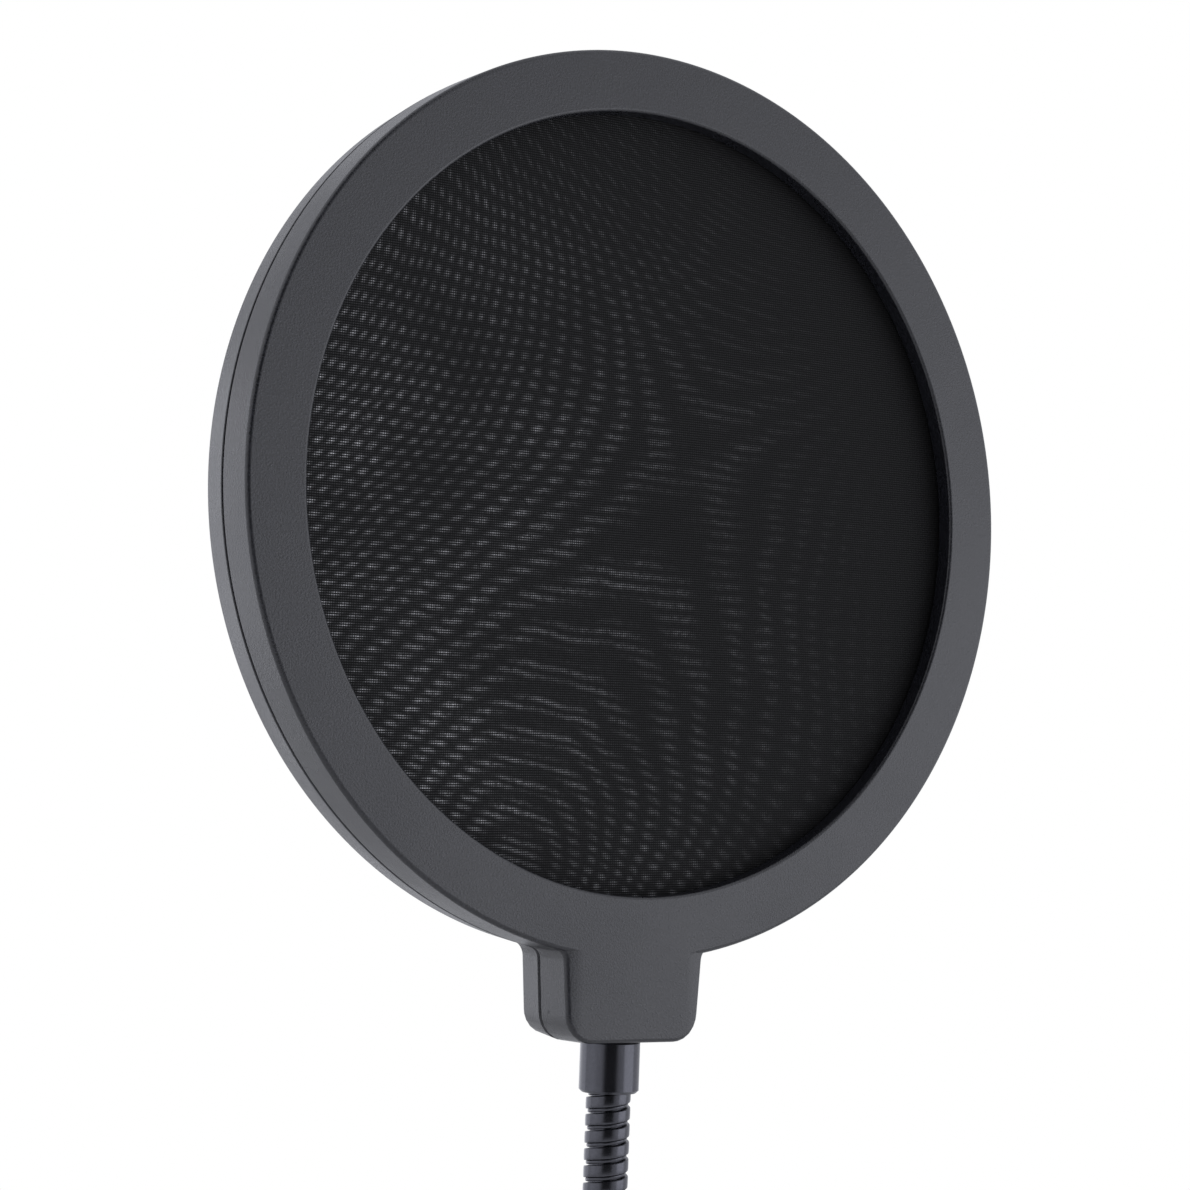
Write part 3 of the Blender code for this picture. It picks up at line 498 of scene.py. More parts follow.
def softened(corners):
    """The line through corners (a, b, radius), with each inner corner that has a radius made an arc."""
    points = []
    for index, (a, b, radius) in enumerate(corners):
        corner = Vector((a, b))
        if radius == 0:
            points.append(tuple(corner))
            continue
        back = (Vector(corners[index - 1][:2]) - corner).normalized()
        ahead = (Vector(corners[(index + 1) % len(corners)][:2]) - corner).normalized()
        half_angle = back.angle(ahead) / 2
        centre = corner + (back + ahead).normalized() * radius / math.sin(half_angle)
        first = corner + back * radius / math.tan(half_angle) - centre
        last = corner + ahead * radius / math.tan(half_angle) - centre
        for step in range(ARC_STEPS + 1):
            direction = first.lerp(last, step / ARC_STEPS).normalized()
            points.append(tuple(centre + direction * radius))
    return points


def skin(name, columns, around, loop, caps=False):
    """A mesh over columns of points, which can close around, loop each column and cap the end ones."""
    count = len(columns[0])
    vertices = [point for column in columns for point in column]
    faces = []
    for number in range(len(columns) if around else len(columns) - 1):
        here = number * count
        there = (number + 1) % len(columns) * count
        for index in range(count if loop else count - 1):
            after = (index + 1) % count
            faces.append((here + index, there + index, there + after, here + after))
    if caps:
        faces.append(tuple(range(count)))
        faces.append(tuple(reversed(range(len(vertices) - count, len(vertices)))))
    mesh = bpy.data.meshes.new(name)
    mesh.from_pydata(vertices, [], faces)
    return mesh


def turned(points, angle):
    """Points (radius, z) at an angle about the Z axis."""
    return [(radius * math.cos(angle), radius * math.sin(angle), z) for radius, z in points]


def lathe(name, profile, place=(0, 0, 0), turn=UPRIGHT, steps=LATHE_STEPS, warp=None):
    """A solid turned about its own Z axis, from points (radius, z): a loop, or a line from axis to axis.

    A warp gives the radius that a point has at an angle, for a solid that isn't round.
    """
    columns = []
    for step in range(steps):
        angle = 2 * math.pi * step / steps
        points = [(warp(radius, angle), z) for radius, z in profile] if warp else profile
        columns.append(turned(points, angle))
    mesh = skin(name, columns, around=True, loop=profile[0][0] > 0)
    tidy_mesh(mesh)
    return link(name, mesh, place, turn)


def rod(name, radius, low, high, place=(0, 0, 0), turn=UPRIGHT, steps=LATHE_STEPS):
    """A plain cylinder along its own Z axis."""
    return lathe(name, [(0, low), (radius, low), (radius, high), (0, high)], place, turn, steps)


def cut_flat(cage, height, side):
    """Removes what is beyond a height on the Z axis, and closes the cut."""
    everything = cage.verts[:] + cage.edges[:] + cage.faces[:]
    cut = bmesh.ops.bisect_plane(
        cage, geom=everything, plane_co=(0, 0, height), plane_no=(0, 0, side), clear_outer=True
    )
    rim = [item for item in cut["geom_cut"] if isinstance(item, bmesh.types.BMEdge)]
    bmesh.ops.contextual_create(cage, geom=rim)


def helix(name, turn_profile, pitch, low, high, place=(0, 0, 0), turn=UPRIGHT):
    """A round bar along Z whose side repeats (rise, radius) in a right-handed helix, with flat ends."""
    rows = []
    for number in range(math.floor(low / pitch) - 2, math.ceil(high / pitch) + 1):
        rows += [(number * pitch + rise, radius) for rise, radius in turn_profile]
    columns = []
    for step in range(COIL_STEPS + 1):
        share = step / COIL_STEPS
        columns.append(turned([(radius, z + pitch * share) for z, radius in rows], 2 * math.pi * share))
    mesh = skin(name, columns, around=False, loop=False)
    cage = bmesh.new()
    cage.from_mesh(mesh)
    bmesh.ops.remove_doubles(cage, verts=cage.verts, dist=MERGE)
    cut_flat(cage, high, 1)
    cut_flat(cage, low, -1)
    cage.to_mesh(mesh)
    cage.free()
    tidy_mesh(mesh)
    return link(name, mesh, place, turn)


def slab(name, outline, thickness, edge, place=(0, 0, 0), turn=UPRIGHT, inset=0.0):
    """An outline in the XY plane, inset if asked, with half its thickness on each side and round edges."""
    curve = bpy.data.curves.new(name, "CURVE")
    curve.dimensions = "2D"
    curve.fill_mode = "BOTH"
    curve.extrude = thickness / 2 - edge
    curve.bevel_depth = edge
    curve.bevel_resolution = BEVEL_STEPS
    curve.offset = -edge - inset
    spline = curve.splines.new("POLY")
    spline.points.add(len(outline) - 1)
    for point, (x, y) in zip(spline.points, outline):
        point.co = (x, y, 0, 1)
    spline.use_cyclic_u = True
    shape = link(name, curve)
    graph = bpy.context.evaluated_depsgraph_get()
    mesh = bpy.data.meshes.new_from_object(shape.evaluated_get(graph))
    bpy.data.objects.remove(shape)
    tidy_mesh(mesh)
    return link(name, mesh, place, turn)


def block(name, low, high):
    """A box between two corners."""
    low, high = Vector(low), Vector(high)
    outline = [(low.x, low.y), (high.x, low.y), (high.x, high.y), (low.x, high.y)]
    vertices = [(x, y, z) for z in (low.z, high.z) for x, y in outline]
    faces = [(3, 2, 1, 0), (4, 5, 6, 7)]
    faces += [(side, (side + 1) % 4, (side + 1) % 4 + 4, side + 4) for side in range(4)]
    mesh = bpy.data.meshes.new(name)
    mesh.from_pydata(vertices, [], faces)
    tidy_mesh(mesh)
    return link(name, mesh)


def combine(obj, others, operation):
    """Cuts others from a piece or joins them to it, for good."""
    for other in others:
        boolean = obj.modifiers.new(other.name, "BOOLEAN")
        boolean.operation = operation
        boolean.solver = "EXACT"
        boolean.object = other
    graph = bpy.context.evaluated_depsgraph_get()
    mesh = bpy.data.meshes.new_from_object(obj.evaluated_get(graph))
    obj.modifiers.clear()
    obj.data = mesh
    for other in others:
        bpy.data.objects.remove(other)
    tidy_mesh(mesh)
    return obj


def cut(obj, *cutters):
    return combine(obj, cutters, "DIFFERENCE")


def join(obj, *additions):
    return combine(obj, additions, "UNION")


HEX_SIDES = 6
HEX_SIDE_STEPS = 8
HEX_FLAT_SHARE = 0.96
HEX_CHAMFER = 0.6


def hex_bar(name, flats, low, high, place, turn, chamfer=0.0):
    """A six-sided bar, whose corners are chamfered at both ends if asked, as on a bolt's head."""
    apothem = flats / 2
    inner = apothem * HEX_FLAT_SHARE
    steps = HEX_SIDES * HEX_SIDE_STEPS
    columns = []
    for step in range(steps):
        angle = 2 * math.pi * step / steps
        from_middle = angle % (2 * math.pi / HEX_SIDES) - math.pi / HEX_SIDES
        radius = apothem / math.cos(from_middle)
        drop = chamfer * (radius - inner)
        points = [(0, low), (inner, low), (radius, low + drop)]
        points += [(radius, high - drop), (inner, high), (0, high)]
        columns.append(turned(points, angle))
    mesh = skin(name, columns, around=True, loop=False)
    tidy_mesh(mesh)
    return link(name, mesh, place, turn)


def dress(obj, material, body, slot, *nodes):
    """Gives a piece its material and body, and hides the CAD nodes that it stands for; the slot is not
    used.
    """
    obj.data.materials.clear()
    obj.data.materials.append(material)
    weighted = obj.modifiers.new("even_shading", "WEIGHTED_NORMAL")
    weighted.keep_sharp = True
    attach(obj, body)
    if nodes:
        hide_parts(*nodes)
    return obj


# Head --------------------------------------------------------------------------------------------------

OPENING_RADIUS = 66.8 * MM
HEAD_DEPTH = REAR_Y - FACE_Y
SEAM_DEPTH = SEAM_Y - FACE_Y
SPIGOT_DEPTH = SPIGOT_Y - FACE_Y
FACE_WALL = 2.2 * MM
RIM_WALL = 2.0 * MM
LIP_WALL = 2.2 * MM
LIP_HEIGHT = 1.1 * MM
RING_EDGE = 0.8 * MM
REAR_EDGE = 0.8 * MM
OPENING_EDGE = 0.6 * MM
SEAM_EDGE = 0.28 * MM
SHADOW_GAP = 0.3 * MM
SHADOW_DEPTH = 0.8 * MM
FRONT_DRAFT = 0.08 * MM
REAR_DRAFT = 0.65 * MM

TAB_TOP_HALF = 14.2 * MM
TAB_BOTTOM_HALF = 13.1 * MM
TAB_CORNER = 5.0 * MM
TAB_FILLET = 2.0 * MM
TAB_REACH = 5.0 * MM
TAB_EDGE = 0.75 * MM
TAB_START_DEPTH = 0.5 * MM
FRONT_TAB_ROOT = 76.0 * MM
REAR_TAB_ROOT = 74.6 * MM
REAR_TAB_STEP = 0.2 * MM
TAB_CROWN_FROM = 10.5 * MM
TAB_CROWN_DROP = 0.45 * MM
TAB_FACE_ROWS = 16
TAB_SHIFT = -0.9 * MM
MARK_RADIUS = 0.5 * MM
MARK_DEPTH = 0.3 * MM
MARK_RISE = 5.0 * MM
MARK_HALF = 13.5 * MM
MARK_DEPTH_SHARE = 0.7
MARK_STEPS = 24

STUD_RADIUS = 3.0 * MM
STUD_BORE = STUD_RADIUS + GAP
SCREEN_THICKNESS = 0.16 * MM
TAB_SCREW_SHANK = 1.1 * MM
TAB_SCREW_HEAD = 1.6 * MM
CROSS_REACH = 1.3 * MM
CROSS_HALF_WIDTH = 0.28 * MM
CROSS_DEPTH = 1.0 * MM


def ring_half(name, corners):
    """One half of the ring, from corners (radius, depth, rounding)."""
    profile = softened([(radius, -depth, rounding) for radius, depth, rounding in corners])
    return lathe(name, profile, HEAD, ALONG_MINUS_Y, RING_STEPS)


def tab_outline():
    """The tab's edge below the ring, from the ring's left to its right, about the ring's middle."""
    start_x = TAB_TOP_HALF + TAB_REACH
    start_z = -math.sqrt((HEAD_RADIUS - TAB_START_DEPTH) ** 2 - start_x**2)
    meet_z = -math.sqrt(HEAD_RADIUS**2 - TAB_TOP_HALF**2)
    base_z = TAB_BASE_Z - HEAD.z
    half = [
        (-start_x, start_z, 0),
        (-TAB_TOP_HALF, meet_z, TAB_FILLET),
        (-TAB_BOTTOM_HALF, base_z, TAB_CORNER),
    ]
    corners = half + [(-x, z, rounding) for x, z, rounding in reversed(half)]
    return divided([Vector(point) for point in softened(corners)], TAB_CORNER / 5)


def divided(points, longest):
    """The same line with points added, so that no stretch is longer than this."""
    result = [points[0]]
    for start, end in zip(points, points[1:]):
        pieces = max(1, math.ceil((end - start).length / longest))
        result += [start.lerp(end, number / pieces) for number in range(1, pieces + 1)]
    return result


def crown(x):
    """How far the tab's face falls away near its sides."""
    beyond = max(0.0, abs(x) - TAB_CROWN_FROM) / (TAB_TOP_HALF - TAB_CROWN_FROM)
    return TAB_CROWN_DROP * beyond**2


def tab_half(name, root_radius, face_depth, seam_depth, draft, drop):
    """One half of the tab: a solid with a round edge whose root lies inside the ring's wall."""
    inwards = 1 if seam_depth > face_depth else -1
    outline = tab_outline()
    columns = []
    for index, point in enumerate(outline):
        before = outline[max(index - 1, 0)]
        after = outline[min(index + 1, len(outline) - 1)]
        along = (after - before).normalized()
        normal = Vector((-along.y, along.x))
        if normal.dot(point) < 0:
            normal.negate()
        root = point.normalized() * root_radius
        section = [(root, seam_depth), (point - normal * SEAM_EDGE, seam_depth)]
        section.append((point, seam_depth - inwards * SEAM_EDGE))
        for step in range(ARC_STEPS + 1):
            angle = math.pi / 2 * step / ARC_STEPS
            place = point - normal * (draft + TAB_EDGE * (1 - math.cos(angle)))
            fall = TAB_EDGE * (1 - math.sin(angle)) + drop(place.x)
            section.append((place, face_depth + inwards * fall))
        inset = point - normal * (draft + TAB_EDGE)
        for row in range(1, TAB_FACE_ROWS + 1):
            place = inset.lerp(root, row / TAB_FACE_ROWS)
            section.append((place, face_depth + inwards * drop(place.x)))
        columns.append([(place.x, place.y, -depth) for place, depth in section])
    mesh = skin(name, columns, around=False, loop=True, caps=True)
    tidy_mesh(mesh)
    return link(name, mesh, HEAD + Vector((TAB_SHIFT, 0, 0)), ALONG_MINUS_Y)


def tab_cutters():
    """The stud's bore, the nut's pocket and the screws' holes, which both halves share."""
    stud_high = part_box("upper_ferrule")[1]
    nut_low, nut_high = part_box("neck_nut")
    room = Vector((GAP, GAP, GAP))
    cutters = [
        rod("stud_bore", STUD_BORE, TAB_BASE_Z - OVERSHOOT, stud_high.z + GAP, NECK),
        block("nut_pocket", nut_low - room, nut_high + room),
    ]
    shank = TAB_SCREW_SHANK + GAP
    seat = TAB_SCREW_HEAD + GAP
    for side in ("left", "right"):
        low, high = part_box(f"tab_screw_{side}")
        place = ((low.x + high.x) / 2, high.y, (low.z + high.z) / 2)
        head = (high.x - low.x) / 2 + GAP
        end = high.y - low.y + GAP
        profile = [(0, -OVERSHOOT), (head, -OVERSHOOT), (head, seat), (shank, seat), (shank, end), (0, end)]
        cutters.append(lathe(f"screw_hole_{side}", profile, place, ALONG_MINUS_Y, BORE_STEPS))
    return cutters


def gate_mark():
    """The small dimple in the tab's left side."""
    wall_x = HEAD.x + TAB_SHIFT - MARK_HALF
    profile = [(0, -OVERSHOOT), (MARK_RADIUS, -OVERSHOOT), (MARK_RADIUS, 0), (0, MARK_DEPTH)]
    place = (wall_x, FACE_Y + MARK_DEPTH_SHARE * SEAM_DEPTH, TAB_BASE_Z + MARK_RISE)
    return lathe("gate_mark", profile, place, ALONG_X, MARK_STEPS)


def build_front_frame(plastic):
    lip_outer = OPENING_RADIUS + LIP_WALL
    rim_inner = HEAD_RADIUS - RIM_WALL
    front = ring_half("front_ring", [
        (HEAD_RADIUS - SHADOW_DEPTH, SEAM_DEPTH, 0),
        (HEAD_RADIUS - SHADOW_DEPTH, SEAM_DEPTH - SHADOW_GAP, 0),
        (HEAD_RADIUS, SEAM_DEPTH - SHADOW_GAP, 0.1 * MM),
        (HEAD_RADIUS - FRONT_DRAFT, 0, RING_EDGE),
        (OPENING_RADIUS, 0, OPENING_EDGE),
        (OPENING_RADIUS, FACE_WALL + LIP_HEIGHT, SEAM_EDGE),
        (lip_outer, FACE_WALL + LIP_HEIGHT, 0),
        (lip_outer, FACE_WALL, 0),
        (rim_inner, FACE_WALL, 0),
        (rim_inner, SEAM_DEPTH, 0),
    ])
    join(front, tab_half("front_tab", FRONT_TAB_ROOT, 0, SEAM_DEPTH, FRONT_DRAFT, crown))
    cut(front, *tab_cutters(), gate_mark())
    dress(front, plastic, "head", "frame_plastic", "front_frame")


def build_rear_frame(plastic):
    lip_outer = OPENING_RADIUS + LIP_WALL
    seam_depth = SEAM_DEPTH + GAP
    spigot_radius = HEAD_RADIUS - RIM_WALL - GAP
    rear_inner = spigot_radius - RIM_WALL
    rear = ring_half("rear_ring", [
        (HEAD_RADIUS, seam_depth, SEAM_EDGE),
        (HEAD_RADIUS - REAR_DRAFT, HEAD_DEPTH, REAR_EDGE),
        (OPENING_RADIUS, HEAD_DEPTH, OPENING_EDGE),
        (OPENING_RADIUS, HEAD_DEPTH - FACE_WALL - LIP_HEIGHT, SEAM_EDGE),
        (lip_outer, HEAD_DEPTH - FACE_WALL - LIP_HEIGHT, 0),
        (lip_outer, HEAD_DEPTH - FACE_WALL, 0),
        (rear_inner, HEAD_DEPTH - FACE_WALL, 0),
        (rear_inner, SPIGOT_DEPTH, 0),
        (spigot_radius, SPIGOT_DEPTH, 0),
        (spigot_radius, seam_depth, 0),
    ])
    face_depth = HEAD_DEPTH - REAR_TAB_STEP
    join(rear, tab_half("rear_tab", REAR_TAB_ROOT, face_depth, seam_depth, REAR_DRAFT, lambda x: 0.0))
    cut(rear, *tab_cutters())
    dress(rear, plastic, "head", "frame_plastic", "rear_frame")


def build_screens(nylon):
    half = SCREEN_THICKNESS / 2
    for side in ("front", "rear"):
        node = f"{side}_screen"
        screen = rod(f"{side}_mesh", SCREEN_RADIUS, -half, half, middle(node), ALONG_MINUS_Y, RING_STEPS)
        dress(screen, nylon, "head", "screen_nylon", node)


# Gooseneck ---------------------------------------------------------------------------------------------

COIL_PITCH = 2.87 * MM
COIL_START = 1.0 * MM
# rise up the coil, radius: a wide band, a deep groove, a narrow band and a fine groove
COIL_PROFILE = [
    (0.00 * MM, 3.48 * MM), (0.03 * MM, 3.68 * MM), (0.10 * MM, 3.77 * MM), (0.30 * MM, 3.80 * MM),
    (1.00 * MM, 3.81 * MM), (1.68 * MM, 3.80 * MM), (1.90 * MM, 3.77 * MM), (2.00 * MM, 3.66 * MM),
    (2.05 * MM, 3.35 * MM), (2.08 * MM, 2.98 * MM), (2.20 * MM, 2.98 * MM), (2.25 * MM, 3.28 * MM),
    (2.33 * MM, 3.40 * MM), (2.50 * MM, 3.44 * MM), (2.72 * MM, 3.44 * MM), (2.78 * MM, 3.38 * MM),
    (2.82 * MM, 3.34 * MM),
]
LINK_COUNT = 13


def coil(name, low, high):
    profile = [(COIL_START + rise, radius) for rise, radius in COIL_PROFILE]
    return helix(name, profile, COIL_PITCH, low, high, NECK)


def link_body(number):
    if number == 1:
        return "swivel"
    return "head" if number == LINK_COUNT else f"neck_{number:02d}"


def build_coil(lacquer):
    """The coil in fourteen lengths, which meet halfway along the CAD's links, where nothing bends."""
    pivots = [joint_named(f"neck_bend_{number:02d}")["pos_m"][2] for number in range(1, LINK_COUNT)]
    half = (pivots[1] - pivots[0]) / 2
    for number, pivot in enumerate(pivots, 1):
        piece = coil(f"coil_{number:02d}", pivot - half, pivot + half)
        piece.data.materials.append(lacquer)
        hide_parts(f"neck_link_{number:02d}")
        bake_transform(piece)
    first = coil("coil_00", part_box("neck_link_01")[0].z, pivots[0] - half)
    first.data.materials.append(lacquer)
    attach(first, link_body(1))
    last_node = f"neck_link_{LINK_COUNT:02d}"
    last = coil("coil_13", pivots[-1] + half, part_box(last_node)[1].z)
    last.data.materials.append(lacquer)
    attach(last, link_body(LINK_COUNT))
    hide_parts(last_node)


FERRULE_RADIUS = 5.1 * MM
FERRULE_EDGE = 0.45 * MM
SOCKET_RADIUS = 4.1 * MM
SOCKET_DEPTH = 6.5 * MM
SOCKET_EDGE = 0.12 * MM
SHOULDER_EDGE = 0.25 * MM
STUD_EDGE = 0.3 * MM


def ferrule_profile(stud, shoulder, mouth):
    """A sleeve's profile from its stud's end to its mouth, along Z in whichever direction that is."""
    along = 1 if mouth > stud else -1
    bottom = mouth - along * SOCKET_DEPTH
    return softened([
        (0, stud, 0),
        (STUD_RADIUS, stud, STUD_EDGE),
        (STUD_RADIUS, shoulder, 0),
        (FERRULE_RADIUS, shoulder, SHOULDER_EDGE),
        (FERRULE_RADIUS, mouth - along * FERRULE_EDGE, 0),
        (FERRULE_RADIUS - FERRULE_EDGE, mouth, 0),
        (SOCKET_RADIUS, mouth, SOCKET_EDGE),
        (SOCKET_RADIUS, bottom, 0),
        (0, bottom, 0),
    ])


def build_upper_ferrule(lacquer):
    low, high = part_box("upper_ferrule")
    sleeve = lathe("upper_sleeve", ferrule_profile(high.z, TAB_BASE_Z - GAP, low.z), NECK)
    dress(sleeve, lacquer, "head", "black_metal", "upper_ferrule")


def build_lower_ferrule(lacquer):
    low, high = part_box("lower_ferrule")
    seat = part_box("swivel_block")[1].z + GAP
    sleeve = lathe("lower_sleeve", ferrule_profile(low.z, seat, high.z), NECK)
    dress(sleeve, lacquer, "swivel", "black_metal", "lower_ferrule")


def build_tab_screws(zinc):
    for side in ("left", "right"):
        node = f"tab_screw_{side}"
        low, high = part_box(node)
        head = (high.x - low.x) / 2
        place = Vector((middle(node).x, high.y, middle(node).z))
        length = high.y - low.y
        # radius, depth, rounding
        profile = softened([
            (0, 0, 0),
            (head, 0, 0.35 * MM),
            (head, TAB_SCREW_HEAD, 0.1 * MM),
            (TAB_SCREW_SHANK, TAB_SCREW_HEAD, 0),
            (TAB_SCREW_SHANK, length, 0.3 * MM),
            (0, length, 0),
        ])
        screw = lathe(f"screw_{side}", profile, place, ALONG_MINUS_Y, BORE_STEPS)
        wide = Vector((CROSS_REACH, 0, CROSS_HALF_WIDTH))
        tall = Vector((CROSS_HALF_WIDTH, 0, CROSS_REACH))
        deep = Vector((0, CROSS_DEPTH, 0))
        out = Vector((0, OVERSHOOT, 0))
        cut(
            screw,
            block("cross_wide", place - wide - deep, place + wide + out),
            block("cross_tall", place - tall - deep, place + tall + out),
        )
        dress(screw, zinc, "head", "zinc", node)


def dress_hidden_parts(zinc, spacer_plastic):
    """The head's nut and spacer and the jaw's clip keep their CAD shapes, as other pieces hide them."""
    for node, material in (("neck_nut", zinc), ("spacer_ring", spacer_plastic), ("pad_clip", zinc)):
        mesh = frame["nodes"][node].data
        mesh.materials.clear()
        mesh.materials.append(material)


# Swivel ------------------------------------------------------------------------------------------------

BOLT_FLATS = 8.0 * MM
BOLT_RADIUS = 2.5 * MM
BOLT_HEAD = 2.9 * MM
BOLT_BORE = BOLT_RADIUS + GAP
BOLT_RECESS = 5.3 * MM
BOLT_OVERLAP = 0.5 * MM
WASHER_RADIUS = 8.0 * MM
SWIVEL_NECK = 6.7 * MM
# The ring groove in the swivel's face: radii of its outer and inner edges at the face and at the floor
GROOVE_OUTER = (9.6 * MM, 9.4 * MM)
GROOVE_INNER = (8.2 * MM, 8.4 * MM)
GROOVE_DEPTH = 0.5 * MM
NUT_FLARE = 0.4 * MM


def build_swivel_body(plastic):
    low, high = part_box("swivel_block")
    half = (high.y - low.y) / 2
    radius = (high.x - low.x) / 2
    place = (NECK.x, NECK.y, 0)
    groove_floor = half - GROOVE_DEPTH
    # radius, place along the bolt, rounding
    disc = lathe("swivel_body", softened([
        (0, -half, 0),
        (radius, -half, 1.2 * MM),
        (radius, half, 1.8 * MM),
        (GROOVE_OUTER[0], half, 0.2 * MM),
        (GROOVE_OUTER[1], groove_floor, 0.15 * MM),
        (GROOVE_INNER[1], groove_floor, 0.15 * MM),
        (GROOVE_INNER[0], half, 0.2 * MM),
        (0, half, 0),
    ]), place, ALONG_MINUS_Y)
    neck = softened([(0, 0, 0), (SWIVEL_NECK, 0, 0), (SWIVEL_NECK, high.z, 0.8 * MM), (0, high.z, 0)])
    join(disc, lathe("swivel_neck", neck, place))
    socket_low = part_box("lower_ferrule")[0].z - GAP
    socket = rod("socket", STUD_BORE, socket_low, high.z + OVERSHOOT, place)
    far = half + OVERSHOOT
    floor = half - BOLT_HEAD - 2 * GAP
    hole = lathe("bolt_hole", [
        (0, -far), (BOLT_BORE, -far), (BOLT_BORE, floor),
        (BOLT_RECESS, floor), (BOLT_RECESS, far), (0, far),
    ], place, ALONG_MINUS_Y)
    cut(disc, socket, hole)
    dress(disc, plastic, "swivel", "clamp_plastic", "swivel_block")


def build_swivel_bolt(zinc):
    low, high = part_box("swivel_bolt")
    place = (NECK.x, low.y, 0)
    bolt = hex_bar("bolt", BOLT_FLATS, -BOLT_HEAD, 0, place, ALONG_MINUS_Y, HEX_CHAMFER)
    shank_from = BOLT_OVERLAP - BOLT_HEAD
    end = low.y - high.y
    shank = softened([
        (0, shank_from, 0), (BOLT_RADIUS, shank_from, 0), (BOLT_RADIUS, end, 0.4 * MM), (0, end, 0),
    ])
    join(bolt, lathe("shank", shank, place, ALONG_MINUS_Y, BORE_STEPS))
    dress(bolt, zinc, "clamp", "zinc", "swivel_bolt")
    low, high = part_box("swivel_washer")
    thickness = high.y - low.y
    washer = lathe("washer", softened([
        (BOLT_BORE, 0, 0.15 * MM),
        (WASHER_RADIUS, 0, 0.2 * MM),
        (WASHER_RADIUS, thickness, 0.2 * MM),
        (BOLT_BORE, thickness, 0.15 * MM),
    ]), (NECK.x, high.y, 0), ALONG_MINUS_Y)
    dress(washer, zinc, "clamp", "zinc", "swivel_washer")
    low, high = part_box("swivel_nut")
    place = (NECK.x, high.y, 0)
    nut = bored_nut("back_nut", BOLT_FLATS, BOLT_BORE, high.y - low.y, place, ALONG_MINUS_Y)
    dress(nut, zinc, "clamp", "zinc", "swivel_nut")


def bored_nut(name, flats, bore, height, place, turn):
    """A hexagon nut with chamfered corners and a chamfered bore."""
    nut = hex_bar(name, flats, 0, height, place, turn, HEX_CHAMFER)
    wide = bore + NUT_FLARE + OVERSHOOT
    hole = lathe("nut_hole", [
        (0, -OVERSHOOT), (wide, -OVERSHOOT), (bore, NUT_FLARE), (bore, height - NUT_FLARE),
        (wide, height + OVERSHOOT), (0, height + OVERSHOOT),
    ], place, turn, BORE_STEPS)
    return cut(nut, hole)


# Clamp -------------------------------------------------------------------------------------------------

CLAMP_EDGE = 1.6 * MM
CLAMP_CORNER = 9.0 * MM
PANEL_INSET = 2.6 * MM
PANEL_DEPTH = 0.6 * MM
PANEL_EDGE = 0.25 * MM
SCREW_RADIUS = 4.0 * MM
NUT_FLATS = 13.0 * MM
PAD_EDGE = 0.3 * MM
PAD_GROOVES = range(-2, 3)
PAD_GROOVE_PITCH = 3.0 * MM
PAD_GROOVE_HALF = 0.45 * MM
PAD_GROOVE_DEPTH = 0.6 * MM
FACE_RINGS = (3.0 * MM, 5.4 * MM, 7.8 * MM)
FACE_RING_HALF = 0.4 * MM
FACE_RING_DEPTH = 0.6 * MM
PLATE_DISC = 3.5 * MM
PLATE_HUB = 6.5 * MM
PLATE_BORE = 2.8 * MM
CLIP_RECESS = 5.2 * MM
CLIP_RECESS_DEPTH = 2.4 * MM


def build_clamp_frame(plastic):
    low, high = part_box("clamp_frame")
    fixed_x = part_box("jaw_pad")[0].x - GAP
    arm_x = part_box("clamp_nut")[0].x - GAP
    spine_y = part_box("swivel_nut")[1].y + GAP
    inner = 2 * CLAMP_EDGE
    outline = softened([
        (low.x, high.y, (fixed_x - low.x) / 2 - GAP),
        (low.x, low.y, CLAMP_CORNER),
        (high.x, low.y, CLAMP_CORNER),
        (high.x, high.y, (high.x - arm_x) / 2 - GAP),
        (arm_x, high.y, inner),
        (arm_x, spine_y, inner),
        (fixed_x, spine_y, inner),
        (fixed_x, high.y, inner),
    ])
    height = high.z - low.z
    clamp = slab("clamp_body", outline, height, CLAMP_EDGE)
    screw_place = (arm_x, 0, 0)
    screw_end = high.x - arm_x + OVERSHOOT
    nut_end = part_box("clamp_nut")[1].x - arm_x + GAP
    nut_room = NUT_FLATS + 2 * GAP
    bolt_place = (NECK.x, spine_y, 0)
    bolt_end = spine_y - low.y + OVERSHOOT
    back_end = spine_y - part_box("swivel_nut")[0].y + GAP
    back_room = BOLT_FLATS + 2 * GAP
    cut(
        clamp,
        slab("panel_low", outline, 2 * PANEL_DEPTH, PANEL_EDGE, (0, 0, -height / 2), inset=PANEL_INSET),
        slab("panel_high", outline, 2 * PANEL_DEPTH, PANEL_EDGE, (0, 0, height / 2), inset=PANEL_INSET),
        rod("screw_hole", SCREW_RADIUS + 2 * GAP, -OVERSHOOT, screw_end, screw_place, ALONG_X, BORE_STEPS),
        hex_bar("nut_pocket", nut_room, -OVERSHOOT, nut_end, screw_place, ALONG_X),
        rod("spine_hole", BOLT_BORE, -OVERSHOOT, bolt_end, bolt_place, ALONG_MINUS_Y, BORE_STEPS),
        hex_bar("back_pocket", back_room, -OVERSHOOT, back_end, bolt_place, ALONG_MINUS_Y),
    )
    dress(clamp, plastic, "clamp", "clamp_plastic", "clamp_frame")


